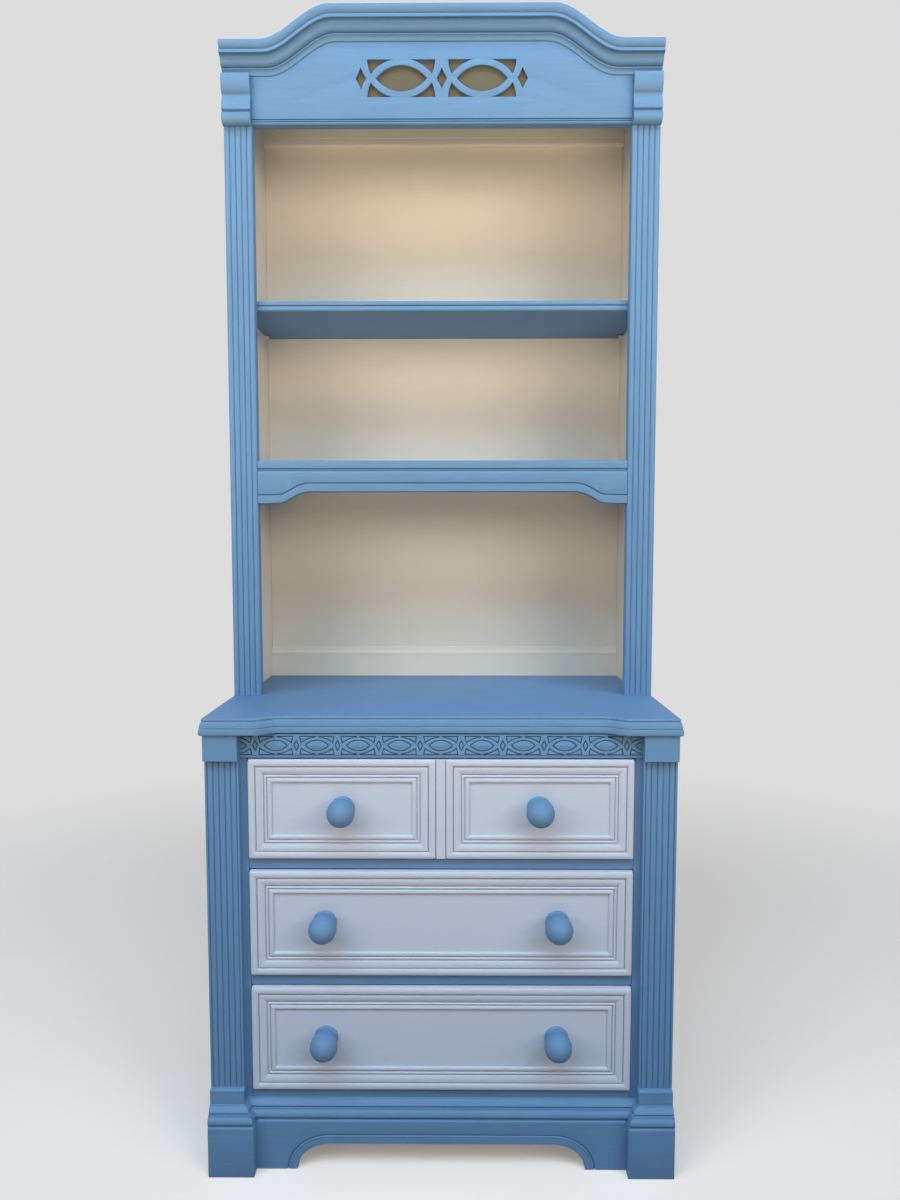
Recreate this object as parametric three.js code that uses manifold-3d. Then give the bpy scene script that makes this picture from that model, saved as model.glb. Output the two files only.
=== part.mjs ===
// A painted dresser with three drawers and a bookcase hutch standing on it.
// Millimetres, +Z up. The front faces -Y, and the piece is the same left and right of X = 0.
// Depths are worked out from the front face of the case, which lies at Y = 0 in the inner group.
import * as THREE from "three";
import { mergeVertices } from "three/addons/utils/BufferGeometryUtils.js";
import Module from "manifold-3d";

const wasm = await Module();
wasm.setup();

// Fits
const glue = 0.2;
const drawerLift = 0.3;
const drawerSideGap = 1.5;
const drawerTopGap = 2;
const drawerBottomGap = 1;
const shelfEndGap = 0.8;
const pinGap = 0.3;
const screwGap = 0.3;
const guideGap = 1;
const grooveGap = 0.3;
const cutOverrun = 5;

// Case
const caseWidth = 753;
const caseDepth = 418;
const sideThickness = 19;
const faceThickness = 19;
const caseStileWidth = 66.2;
const backThickness = 6;
const backSetback = 7;
const railHeight = 17.8;
const bottomRailShow = 15.4;
const topRailHeight = 40.1;
const dustThickness = 12;
const guideWidth = 30;
const guideHeight = 9;
const guideSetback = 12;
const sideArchFront = 70;
const sideArchHeight = 45;

// Worktop
const worktopOverhang = 4.5;
const worktopThickness = 27.3;
const middleOverhang = 7.5;
const breakDepth = 19;
const breakInset = 84;
const breakLength = 40;
const noseFillet = 1.2;
const noseInset = 6.2;
const noseStep = 1;
const noseRound = 11.5;
const noseGroove = 1.6;
const noseUnder = 2.4;

// Pilasters and their blocks
const pilasterWidth = 54.4;
const pilasterDepth = 11.2;
const reedCount = 5;
const reedHeight = 2.6;
const pilasterFillet = 3.6;
const capWidth = 55;
const capHeight = 42;
const capDepth = 21;
const plinthWidth = 56;
const plinthHeight = 23.3;
const plinthChamfer = 2;

// Base
const footHeight = 84.5;
const footWidth = 74.5;
const footRound = 4;
const baseMouldHeight = 29;
const baseFlare = 17;
const skirtLift = 1.5;
const skirtArchInset = 67;
const skirtArchCurve = 53.5;
const skirtArchHeight = 43.5;
const skirtThickness = 17;

// Carved band under the worktop
const bandDepth = 5;
const bandBead = 5.8;
const bandRelief = 1.5;

// Drawers, bottom to top
const drawerHeights = [173.2, 173.2, 162.1];
const frontThickness = 16;
const frontProud = 9;
const mouldWidth = 38.6;
const mouldDepth = 6.4;
const stripWidth = 16.4;
const stripGroove = 0.9;
const stripDepth = 4.6;
const boxInset = 4.3;
const boxBackGap = 20.4;
const boxSideThickness = 12;
const boxSideDrop = 26;
const bottomThickness = 6;
const bottomRaise = 13;
const bottomGroove = 5;

// Knobs
const knobInsets = [120.8, 120.8, 151.5];
const knobRise = 1.5;
const knobBall = 44.5;
const knobBase = 40;
const knobBaseThickness = 7;
const knobNeck = 25;
const knobReach = 51;
const screwShank = 4;
const screwHead = 9;
const screwHeadThickness = 2.5;

// Hutch
const hutchReach = 242;
const hutchBackInset = 6;
const hutchSideThickness = 21;
const stileWidth = 49;
const stileThickness = 18;
const stileReedHeight = 2.8;
const hutchBackThickness = 6;
const hutchBackSetback = 2;
const hutchRise = 1120.4;
const hutchTopThickness = 16;
const hutchTopDrop = 4;
const backRailDepth = 6;
const backRailHeight = 43;
const backRailMould = 16.8;
const hangRailHeight = 46;
const hangRailDepth = 12;
const shelfThickness = 17.4;
const lowerShelfRise = 420.2;
const upperShelfRise = 701.6;
const apronDrop = 57.6;
const apronRise = 18.8;
const apronCurveInset = 38;
const apronCurveLength = 43;
const pinRadius = 3;
const pinLength = 9;
const pinFrontSetback = 35;
const pinBackSetback = 30;

// Cornice, capitals and frieze
const corniceHeight = 47.5;
const corniceDepth = 27;
const corniceLean = 10;
const archRise = 56.5;
const archInset = 77.5;
const archLength = 120;
const capitalHeight = 83;
const capitalDepth = 17;
const friezeThickness = 6.4;
const friezeDrop = 70;
const friezeTopDrop = 2;
const friezeRailHeight = 9;
const friezeRailProud = 1;

// Pierced fretwork in the frieze, with its parts as shares of the pitch of its two ovals
const fretDrop = 3.5;
const fretPitch = 138.8;
const fretHalfHeightShare = 0.2233;
const ovalLengthShare = 0.6225;
const ovalHeightShare = 0.294;
const fretBandShare = 0.0893;
const fretReturnShare = 0.0216;

// Curves are drawn with these numbers of steps
const knobSegments = 20;
const ballSteps = 9;
const reedSteps = 6;
const ogeeSteps = 10;
const arcSteps = 6;
const pinSegments = 10;

// Heights, from the floor up
const mouldTop = footHeight + baseMouldHeight;
const bottomRailTop = mouldTop + bottomRailShow;
const drawerFloors = [];
const drawerBases = [];
let level = bottomRailTop;
for (const height of drawerHeights) {
  drawerFloors.push(level);
  drawerBases.push(level + drawerBottomGap);
  level += drawerBottomGap + height + drawerTopGap + railHeight;
}
const topRailBase = level - railHeight;
const caseTop = topRailBase + topRailHeight;
const worktopTop = caseTop + worktopThickness;
const corniceTop = worktopTop + hutchRise;
const corniceBase = corniceTop - corniceHeight;
const hutchTop = corniceTop - hutchTopDrop;
const hutchCeiling = hutchTop - hutchTopThickness;
const lowerShelfTop = worktopTop + lowerShelfRise;
const upperShelfTop = worktopTop + upperShelfRise;

// Widths and depths
const caseHalf = caseWidth / 2;
const caseInner = caseHalf - sideThickness;
const worktopHalf = caseHalf + worktopOverhang;
const breakStart = worktopHalf - breakInset - breakLength;
const openingHalf = caseHalf - caseStileWidth;
const drawerHalf = openingHalf - drawerSideGap;
const skirtHalf = caseHalf - footWidth - glue;
const skirtArchHalf = skirtHalf - skirtArchInset;
const caseBackFace = caseDepth - backSetback - backThickness;
const footFront = -(breakDepth + baseFlare);
const hutchSetback = caseDepth - hutchReach;
const hutchBack = caseDepth - hutchBackInset;
const hutchInner = caseHalf - hutchSideThickness;
const hutchBackFace = hutchBack - hutchBackSetback - hutchBackThickness;
const stileInner = caseHalf - stileWidth;
const stileBack = hutchSetback + stileThickness;
const archStart = caseHalf - archInset - archLength;
const apronCurveStart = stileInner - apronCurveInset - apronCurveLength;
const panelFace = mouldDepth - frontProud;
const frontBack = panelFace + frontThickness;
const boxBack = caseBackFace - boxBackGap;

const colours = { blue: 0x87a9c6, cream: 0xf0ece6, beige: 0xcdc2ae, pine: 0xc9a878 };
const blue = new THREE.MeshStandardMaterial({ color: colours.blue, roughness: 0.5, metalness: 0 });
const cream = new THREE.MeshStandardMaterial({ color: colours.cream, roughness: 0.5, metalness: 0 });
const beige = new THREE.MeshStandardMaterial({ color: colours.beige, roughness: 0.55, metalness: 0 });
const pine = new THREE.MeshStandardMaterial({ color: colours.pine, roughness: 0.7, metalness: 0 });

const model = new THREE.Group();

function place(name, material, geometry) {
  const mesh = new THREE.Mesh(geometry, material);
  mesh.name = name;
  model.add(mesh);
  return mesh;
}

// A plain board between low and high values of X, Y and Z.
function board(name, material, [x0, x1], [y0, y1], [z0, z1]) {
  const mesh = place(name, material, new THREE.BoxGeometry(x1 - x0, y1 - y0, z1 - z0));
  mesh.position.set((x0 + x1) / 2, (y0 + y1) / 2, (z0 + z1) / 2);
  return mesh;
}

const unitX = new THREE.Vector3(1, 0, 0);
const unitY = new THREE.Vector3(0, 1, 0);
const unitZ = new THREE.Vector3(0, 0, 1);

function extrusion(outline, length) {
  return new THREE.ExtrudeGeometry(new THREE.Shape(outline), { depth: length, bevelEnabled: false });
}

// An outline drawn in Y and Z, run along X.
function alongX(outline, [x0, x1]) {
  const geometry = extrusion(outline, x1 - x0);
  geometry.applyMatrix4(new THREE.Matrix4().makeBasis(unitY, unitZ, unitX));
  return geometry.translate(x0, 0, 0);
}

// An outline drawn in X and Z, run along Y.
function alongY(outline, [y0, y1]) {
  const geometry = extrusion(outline, y1 - y0);
  geometry.applyMatrix4(new THREE.Matrix4().makeBasis(unitX, unitZ, unitY.clone().negate()));
  return geometry.translate(0, y1, 0);
}

// An outline drawn in X and Y, run along Z.
function alongZ(outline, [z0, z1]) {
  return extrusion(outline, z1 - z0).translate(0, 0, z0);
}

function point(x, y) {
  return new THREE.Vector2(x, y);
}

// Points on an elliptical arc, from one angle to another in turns.
function arc(centreX, centreY, radiusX, radiusY, from, to, steps) {
  const points = [];
  for (let i = 0; i <= steps; i++) {
    const angle = 2 * Math.PI * (from + ((to - from) * i) / steps);
    points.push(point(centreX + radiusX * Math.cos(angle), centreY + radiusY * Math.sin(angle)));
  }
  return points;
}

// An ogee step that goes smoothly from 0 to 1.
function ogee(t) {
  const inside = Math.min(Math.max(t, 0), 1);
  return (1 - Math.cos(Math.PI * inside)) / 2;
}

// The faces of a flat ring of points, turned the same way as the ring.
function capFaces(ring) {
  const box = new THREE.Box3().setFromPoints(ring);
  const size = box.getSize(new THREE.Vector3());
  const thin = ["x", "y", "z"].sort((a, b) => size[a] - size[b])[0];
  const [first, second] = ["x", "y", "z"].filter((axis) => axis !== thin);
  const flat = ring.map((corner) => point(corner[first], corner[second]));
  const turn = Math.sign(THREE.ShapeUtils.area(flat));
  return THREE.ShapeUtils.triangulateShape(flat, []).map((face) => {
    const same = Math.sign(THREE.ShapeUtils.area(face.map((i) => flat[i]))) === turn;
    return same ? face : [...face].reverse();
  });
}

// A closed body through rings of points. Its ends are capped, or its last ring meets its first.
function skin(rings, closed = false) {
  const count = rings[0].length;
  const points = rings.flat();
  const faces = [];
  const spans = closed ? rings.length : rings.length - 1;
  for (let ring = 0; ring < spans; ring++) {
    const here = ring * count;
    const there = ((ring + 1) % rings.length) * count;
    for (let i = 0; i < count; i++) {
      const next = (i + 1) % count;
      faces.push([here + i, here + next, there + next], [here + i, there + next, there + i]);
    }
  }
  if (!closed) {
    const end = (rings.length - 1) * count;
    for (const face of capFaces(rings[0])) faces.push([...face].reverse());
    for (const face of capFaces(rings[rings.length - 1])) faces.push(face.map((i) => i + end));
  }
  let volume = 0;
  for (const [a, b, c] of faces) {
    volume += points[a].dot(new THREE.Vector3().crossVectors(points[b], points[c]));
  }
  const turned = volume < 0 ? faces.map((face) => [...face].reverse()) : faces;
  const geometry = new THREE.BufferGeometry().setFromPoints(points);
  geometry.setIndex(turned.flat());
  const flatShaded = geometry.toNonIndexed();
  flatShaded.computeVertexNormals();
  return flatShaded;
}

function toSolid(geometry) {
  const bare = geometry.clone();
  bare.deleteAttribute("normal");
  bare.deleteAttribute("uv");
  const merged = mergeVertices(bare);
  const vertProperties = new Float32Array(merged.attributes.position.array);
  const triVerts = new Uint32Array(merged.index.array);
  return new wasm.Manifold(new wasm.Mesh({ numProp: 3, vertProperties, triVerts }));
}

function fromSolid(solid) {
  const mesh = solid.getMesh();
  const geometry = new THREE.BufferGeometry();
  geometry.setAttribute("position", new THREE.BufferAttribute(mesh.vertProperties.slice(), 3));
  geometry.setIndex(new THREE.BufferAttribute(mesh.triVerts.slice(), 1));
  const flatShaded = geometry.toNonIndexed();
  flatShaded.computeVertexNormals();
  return flatShaded;
}

function boxSolid([x0, x1], [y0, y1], [z0, z1]) {
  const geometry = new THREE.BoxGeometry(x1 - x0, y1 - y0, z1 - z0);
  return toSolid(geometry.translate((x0 + x1) / 2, (y0 + y1) / 2, (z0 + z1) / 2));
}

// The plan of the piece from above: square ends that stand forward of a middle.
// inset draws the whole outline in, and ends gives where the middle starts at that inset.
function breakfrontPlan(half, front, back, inset, ends) {
  const steps = [];
  for (let i = 0; i <= ends.steps; i++) {
    const t = i / ends.steps;
    const x = ends.start + ends.length * t;
    const y = front + breakDepth * (1 - ogee(t));
    const slope = (breakDepth * Math.PI * Math.sin(Math.PI * t)) / (2 * ends.length);
    const lean = Math.hypot(slope, 1);
    steps.push(point(x + (inset * slope) / lean, y + inset / lean));
  }
  const right = [...steps, point(half - inset, front + inset), point(half - inset, back)];
  const left = right.map((corner) => point(-corner.x, corner.y)).reverse();
  return [...left, ...right];
}

function atHeight(outline, z) {
  return outline.map((corner) => new THREE.Vector3(corner.x, corner.y, z));
}

// Worktop: a small square arris, a quarter round, a groove and a full round under it.
function makeWorktop() {
  const front = -(middleOverhang + breakDepth);
  const curve = { start: breakStart, length: breakLength, steps: ogeeSteps };
  const torusHeight = worktopThickness - noseFillet - noseRound;
  const edge = [point(noseUnder, 0)];
  for (const share of [0.25, 0.5, 0.75]) {
    const turn = Math.sin(Math.PI * (0.5 + share * 0.5));
    edge.push(point(noseUnder * (1 - Math.sqrt(1 - turn * turn)), torusHeight * share * 0.5));
  }
  edge.push(point(0, torusHeight / 2));
  edge.push(point(noseGroove / 2, torusHeight * 0.85));
  edge.push(point(noseGroove, torusHeight));
  for (const share of [0.3, 0.6, 0.85, 1]) {
    const rise = torusHeight + noseRound * share;
    const swing = 1 - Math.sqrt(1 - share * share);
    edge.push(point(noseStep + (noseInset - noseStep) * swing, rise));
  }
  edge.push(point(noseInset, worktopThickness));
  const rings = edge.map(({ x: inset, y: rise }) => {
    const plan = breakfrontPlan(worktopHalf, front, caseDepth, inset, curve);
    return atHeight(plan, caseTop + rise);
  });
  place("dresser_top", blue, skin(rings));
}

// A side panel runs to the floor, cut away between a front and a back foot.
function makeCaseSide(name, side) {
  const low = faceThickness + glue;
  const archFront = low + sideArchFront;
  const archBack = caseDepth - sideArchFront;
  const outline = [
    point(low, 0),
    ...arc(archFront + sideArchHeight, 0, sideArchHeight, sideArchHeight, 0.5, 0.25, arcSteps),
    ...arc(archBack - sideArchHeight, 0, sideArchHeight, sideArchHeight, 0.25, 0, arcSteps),
    point(caseDepth, 0),
    point(caseDepth, caseTop - glue),
    point(low, caseTop - glue),
  ];
  const inner = side * caseInner;
  const outer = side * caseHalf;
  place(name, blue, alongX(outline, [Math.min(inner, outer), Math.max(inner, outer)]));
}

// A dust board with the wooden guide that its drawer runs on.
function makeDustBoard(name, top) {
  const depth = [faceThickness + glue, caseBackFace - glue];
  const plate = boxSolid([glue - caseInner, caseInner - glue], depth, [top - dustThickness, top]);
  const guideDepth = [faceThickness + guideSetback, caseBackFace - guideSetback];
  const guideTop = top + guideHeight;
  const rail = boxSolid([-guideWidth / 2, guideWidth / 2], guideDepth, [top - glue, guideTop]);
  place(name, pine, fromSolid(plate.add(rail)));
}

function makeFaceFrame() {
  const face = [0, faceThickness];
  for (const [name, side] of [["case_stile_left", -1], ["case_stile_right", 1]]) {
    const edges = [side * openingHalf, side * caseHalf].sort((a, b) => a - b);
    board(name, blue, edges, face, [0, caseTop - glue]);
  }
  const width = [glue - openingHalf, openingHalf - glue];
  board("bottom_rail", blue, width, face, [footHeight, bottomRailTop]);
  board("lower_drawer_rail", blue, width, face, [drawerFloors[1] - railHeight, drawerFloors[1]]);
  board("upper_drawer_rail", blue, width, face, [drawerFloors[2] - railHeight, drawerFloors[2]]);
  board("top_rail", blue, width, face, [topRailBase, caseTop - glue]);
}

// The outline of a strip with rounded reeds on its front. Plain fillets may stand beside them.
function reededOutline(low, high, front, back, height, fillet) {
  const pitch = (high - low - 2 * fillet) / reedCount;
  const outline = [point(low, back)];
  if (fillet > 0) outline.push(point(low, front));
  for (let reed = 0; reed < reedCount; reed++) {
    const centre = low + fillet + pitch * (reed + 0.5);
    const reedArc = arc(centre, front + height, pitch / 2, height, 0.5, 1, reedSteps);
    outline.push(...(reed > 0 ? reedArc.slice(1) : reedArc));
  }
  if (fillet > 0) outline.push(point(high, front));
  outline.push(point(high, back));
  return outline.reverse();
}

function mirrored(outline, side) {
  return side > 0 ? outline : outline.map((corner) => point(-corner.x, corner.y)).reverse();
}

function makePilaster(name, side) {
  const inner = caseHalf - pilasterWidth;
  const outline = reededOutline(inner, caseHalf, -pilasterDepth, -glue, reedHeight, pilasterFillet);
  const heights = [mouldTop + plinthHeight + glue, caseTop - capHeight - glue];
  place(name, blue, alongZ(mirrored(outline, side), heights));
}

function makeCapBlock(name, side) {
  const edges = [side * (caseHalf - capWidth), side * caseHalf].sort((a, b) => a - b);
  board(name, blue, edges, [-capDepth, -glue], [caseTop - capHeight, caseTop - glue]);
}

// The plinth block has its top front edge taken off at a slope.
function makePlinthBlock(name, side) {
  const edges = [side * (caseHalf - plinthWidth), side * caseHalf].sort((a, b) => a - b);
  const top = mouldTop + plinthHeight;
  const outline = [
    point(-glue, mouldTop + glue),
    point(-glue, top),
    point(plinthChamfer * 2 - breakDepth, top),
    point(-breakDepth, top - plinthChamfer),
    point(-breakDepth, mouldTop + glue),
  ];
  place(name, blue, alongX(outline, edges));
}

// The base moulding steps out from the case: a cove, a fillet, a quarter round and a fillet.
// It breaks forward round the feet with mitred corners, and its ends are sawn flush.
const baseOutShares = [0.9, 0.9, 0.84, 0.92, 0.99, 0.965, 0.74, 0.73, 0.53, 0.51, 0.28, 0.07];
const baseRiseShares = [0, 0.035, 0.055, 0.085, 0.19, 0.29, 0.47, 0.56, 0.61, 0.67, 0.84, 1];

function makeBaseMoulding() {
  const inner = caseHalf - plinthWidth;
  const height = baseMouldHeight - glue;
  const rings = baseOutShares.map((share, index) => {
    const out = baseFlare * share;
    const right = [
      point(inner - out, -out),
      point(inner - out, -breakDepth - out),
      point(caseHalf, -breakDepth - out),
      point(caseHalf, -glue),
    ];
    const left = right.map((corner) => point(-corner.x, corner.y)).reverse();
    return atHeight([...left, ...right], footHeight + glue + baseRiseShares[index] * height);
  });
  place("base_moulding", blue, skin(rings));
}

// A foot block and the skirt have their top front edges rounded over.
function roundedTop(front, back, low, top, radius) {
  return [
    point(front, low),
    point(back, low),
    point(back, top),
    ...arc(front + radius, top - radius, radius, radius, 0.25, 0.5, arcSteps),
  ];
}

function makeFootBlock(name, side) {
  const edges = [side * (caseHalf - footWidth), side * caseHalf].sort((a, b) => a - b);
  place(name, blue, alongX(roundedTop(footFront, -glue, 0, footHeight, footRound), edges));
}

function makeSkirt() {
  const half = skirtHalf;
  const curveStart = skirtArchHalf - skirtArchCurve;
  const rise = skirtArchHeight - skirtLift;
  const outline = [
    point(-half, skirtLift),
    ...arc(-curveStart, skirtLift, skirtArchCurve, rise, 0.5, 0.25, arcSteps),
    ...arc(curveStart, skirtLift, skirtArchCurve, rise, 0.25, 0, arcSteps),
    point(half, skirtLift),
    point(half, footHeight - footRound),
    point(-half, footHeight - footRound),
  ];
  const front = -baseFlare;
  const back = front + skirtThickness - glue;
  const lower = alongY(outline, [front, back]);
  const seam = footHeight - footRound - glue;
  const edge = alongX(roundedTop(front, back, seam, footHeight, footRound), [-half, half]);
  place("front_skirt", blue, fromSolid(toSolid(lower).add(toSolid(edge))));
}

// The band under the worktop: a flat ground for the carving over a small bead.
function makeCarvedBand() {
  const half = caseHalf - capWidth - glue;
  const base = topRailBase;
  const outline = [
    point(-glue, base),
    point(-glue, caseTop - glue),
    point(-bandDepth, caseTop - glue),
    point(-bandDepth, base + bandBead),
    ...arc(-bandDepth + bandRelief, base + bandBead / 2, bandBead / 2, bandBead / 2, 0.25, 0.75, arcSteps),
  ];
  place("carved_band", blue, alongX(outline.reverse(), [-half, half]));
}

function makeCase() {
  makeWorktop();
  makeCaseSide("case_side_left", -1);
  makeCaseSide("case_side_right", 1);
  const backWidth = [glue - caseInner, caseInner - glue];
  const backDepth = [caseBackFace, caseBackFace + backThickness];
  board("case_back", pine, backWidth, backDepth, [footHeight, caseTop - glue]);
  makeDustBoard("case_bottom", drawerFloors[0]);
  makeDustBoard("lower_dust_board", drawerFloors[1]);
  makeDustBoard("upper_dust_board", drawerFloors[2]);
  makeFaceFrame();
  makePilaster("pilaster_left", -1);
  makePilaster("pilaster_right", 1);
  makeCapBlock("cap_block_left", -1);
  makeCapBlock("cap_block_right", 1);
  makePlinthBlock("plinth_block_left", -1);
  makePlinthBlock("plinth_block_right", 1);
  makeBaseMoulding();
  makeFootBlock("foot_block_left", -1);
  makeFootBlock("foot_block_right", 1);
  makeSkirt();
  makeCarvedBand();
}

// The section of a drawer's applied moulding: how far in from its outer edge, and how far forward.
// From outside: a bullnose, a step, a sloping band, a step, a small bead, a step and a cove.
const mouldInShares = [
  0, 0, 0.05, 0.15, 0.27, 0.31, 0.34, 0.45, 0.55, 0.63, 0.65, 0.68, 0.72, 0.76, 0.79, 0.81, 0.88, 0.98, 1,
];
const mouldOutShares = [
  0, 0.5, 0.88, 1, 0.82, 0.58, 0.76, 0.78, 0.66, 0.45, 0.28, 0.42, 0.5, 0.4, 0.22, 0.36, 0.2, 0.14, 0.03,
];

function makeMouldingFrame(name, [x0, x1], [z0, z1]) {
  const relief = mouldDepth - glue;
  const section = mouldInShares.map((share, i) => [share * mouldWidth, mouldOutShares[i] * relief]);
  section.push([mouldWidth, 0]);
  const corners = [[x0, z0, 1, 1], [x1, z0, -1, 1], [x1, z1, -1, -1], [x0, z1, 1, -1]];
  const rings = corners.map(([x, z, inX, inZ]) =>
    section.map(([inset, out]) => {
      return new THREE.Vector3(x + inX * inset, panelFace - glue - out, z + inZ * inset);
    }),
  );
  place(name, cream, skin(rings, true));
}

// A turned knob with the screw that holds it, on an axis along Y.
function makeKnob(name, x, z) {
  const ballCentre = knobReach - knobBall / 2;
  const neckAngle = Math.asin(knobNeck / knobBall);
  const profile = [
    point(0, -frontThickness - screwGap - screwHeadThickness),
    point(screwHead / 2, -frontThickness - screwGap - screwHeadThickness),
    point(screwHead / 2, -frontThickness - screwGap),
    point(screwShank / 2, -frontThickness - screwGap),
    point(screwShank / 2, glue),
    point(knobBase / 2, glue),
    point(knobBase / 2, knobBaseThickness * 0.6),
    point((knobBase + knobNeck) / 4, knobBaseThickness),
  ];
  for (let i = 0; i <= ballSteps; i++) {
    const angle = neckAngle + ((Math.PI - neckAngle) * i) / ballSteps;
    const radius = i === ballSteps ? 0 : (Math.sin(angle) * knobBall) / 2;
    profile.push(point(radius, ballCentre - (Math.cos(angle) * knobBall) / 2));
  }
  const geometry = new THREE.LatheGeometry(profile, knobSegments);
  const knob = place(name, blue, geometry);
  knob.rotation.x = Math.PI;
  knob.position.set(x, panelFace, z);
}

function screwHole(x, z) {
  const hole = new THREE.CylinderGeometry(
    screwShank / 2 + screwGap,
    screwShank / 2 + screwGap,
    frontThickness + 2 * cutOverrun,
    pinSegments,
  );
  return toSolid(hole.translate(x, panelFace + frontThickness / 2, z));
}

function makeDrawer(index, name) {
  const half = drawerHalf;
  const base = drawerBases[index];
  const top = base + drawerHeights[index];
  const knobZ = (base + top) / 2 + knobRise;
  const knobX = half - knobInsets[index];
  const paired = index === 2;

  let front = boxSolid([-half, half], [panelFace, frontBack], [base, top]);
  if (paired) {
    const strip = stripWidth / 2 - stripGroove;
    front = front.add(boxSolid([-strip, strip], [panelFace - stripDepth, frontBack], [base, top]));
  }
  front = front.subtract(screwHole(-knobX, knobZ)).subtract(screwHole(knobX, knobZ));
  place(`${name}_front`, cream, fromSolid(front));

  const frames = paired
    ? [["left", -half, -stripWidth / 2], ["right", stripWidth / 2, half]]
    : [["", -half, half]];
  for (const [label, x0, x1] of frames) {
    const frameName = label ? `${name}_moulding_${label}` : `${name}_moulding`;
    makeMouldingFrame(frameName, [x0, x1], [base, top]);
  }

  const low = drawerFloors[index] + drawerLift;
  const high = top - boxSideDrop;
  const outer = half - boxInset;
  const inner = outer - boxSideThickness;
  const boxFront = frontBack + glue;
  const innerBack = boxBack - boxSideThickness;
  const bottomLow = low + bottomRaise;
  const bottomHigh = bottomLow + bottomThickness;
  const bottomHalf = inner + bottomGroove;
  const bottomBack = innerBack + bottomGroove;
  const whole = boxSolid([-outer, outer], [boxFront, boxBack], [low, high]);
  const roomHeight = [low - cutOverrun, high + cutOverrun];
  const room = boxSolid([-inner, inner], [boxFront - cutOverrun, innerBack], roomHeight);
  const groove = boxSolid(
    [-bottomHalf - grooveGap, bottomHalf + grooveGap],
    [boxFront - cutOverrun, bottomBack + grooveGap],
    [bottomLow - grooveGap, bottomHigh + grooveGap],
  );
  const notch = boxSolid(
    [-guideWidth / 2 - guideGap, guideWidth / 2 + guideGap],
    [innerBack - cutOverrun, boxBack + cutOverrun],
    [low - cutOverrun, drawerFloors[index] + guideHeight + guideGap],
  );
  place(`${name}_box`, pine, fromSolid(whole.subtract(room).subtract(groove).subtract(notch)));
  board(`${name}_bottom`, pine, [-bottomHalf, bottomHalf], [boxFront, bottomBack], [bottomLow, bottomHigh]);

  makeKnob(`${name}_knob_left`, -knobX, knobZ);
  makeKnob(`${name}_knob_right`, knobX, knobZ);
}

// A hutch side with the two pins that carry the loose shelf.
function makeHutchSide(name, side) {
  const edges = [side * hutchInner, side * caseHalf].sort((a, b) => a - b);
  const depth = [stileBack + glue, hutchBack];
  let panel = boxSolid(edges, depth, [worktopTop + glue, hutchTop]);
  const pinTop = upperShelfTop - shelfThickness - pinGap;
  for (const y of [depth[0] + pinFrontSetback, hutchBackFace - pinBackSetback]) {
    const pin = new THREE.CylinderGeometry(pinRadius, pinRadius, 2 * pinLength, pinSegments);
    pin.rotateZ(Math.PI / 2);
    pin.translate(side * hutchInner, y, pinTop - pinRadius);
    panel = panel.add(toSolid(pin));
  }
  place(name, beige, fromSolid(panel));
}

function makeStile(name, side) {
  const outline = reededOutline(stileInner, caseHalf, hutchSetback, stileBack, stileReedHeight, 0);
  place(name, blue, alongZ(mirrored(outline, side), [worktopTop + glue, hutchTop]));
}

// The rail at the foot of the hutch back has a small moulded top edge.
function makeBackRail() {
  const back = hutchBackFace - glue;
  const front = back - backRailDepth;
  const top = worktopTop + backRailHeight;
  const hollowDepth = (backRailDepth * 2) / 3;
  const hollowHeight = backRailMould * 0.8;
  const hollow = arc(front, top + backRailMould, hollowDepth, hollowHeight, 0, -0.25, arcSteps);
  const outline = [
    point(front, worktopTop + glue),
    point(back, worktopTop + glue),
    point(back, top + backRailMould),
    point(back - backRailDepth / 3, top + backRailMould),
    ...hollow.slice(1, -1),
    point(front, top),
  ];
  place("hutch_back_rail", beige, alongX(outline, [glue - hutchInner, hutchInner - glue]));
}

// The fixed shelf comes forward between the stiles. The loose one stops behind them.
function makeShelves() {
  const wide = hutchInner - glue;
  const narrow = stileInner - glue;
  const back = hutchBackFace - glue;
  const plan = [
    point(-narrow, hutchSetback),
    point(narrow, hutchSetback),
    point(narrow, stileBack + glue),
    point(wide, stileBack + glue),
    point(wide, back),
    point(-wide, back),
    point(-wide, stileBack + glue),
    point(-narrow, stileBack + glue),
  ];
  place("lower_shelf", blue, alongZ(plan, [lowerShelfTop - shelfThickness, lowerShelfTop]));
  const loose = hutchInner - shelfEndGap;
  const looseDepth = [stileBack + shelfEndGap, back - shelfEndGap];
  board("upper_shelf", blue, [-loose, loose], looseDepth, [upperShelfTop - shelfThickness, upperShelfTop]);
}

// The lower edge of the apron rises to a straight middle through an ogee at each end.
function makeApron() {
  const half = stileInner - glue;
  const top = lowerShelfTop - shelfThickness - glue;
  const low = top - apronDrop;
  const outline = [point(half, low)];
  for (let i = ogeeSteps; i >= 0; i--) {
    const t = i / ogeeSteps;
    outline.push(point(apronCurveStart + apronCurveLength * t, low + apronRise * (1 - ogee(t))));
  }
  const left = outline.map((corner) => point(-corner.x, corner.y)).reverse();
  const all = [point(half, top), ...outline, ...left, point(-half, top)];
  place("shelf_apron", blue, alongY(all, [hutchSetback, stileBack]));
}

// Height of the arched top above its ends, at a distance from the middle.
function archHeight(x) {
  return archRise * ogee(1 - (Math.abs(x) - archStart) / archLength);
}

function archStations(half, shift) {
  const right = [];
  for (let i = 0; i <= ogeeSteps; i++) right.push(archStart + shift + (archLength * i) / ogeeSteps);
  right.push(half);
  return [...right.map((x) => -x).reverse(), ...right];
}

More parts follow.
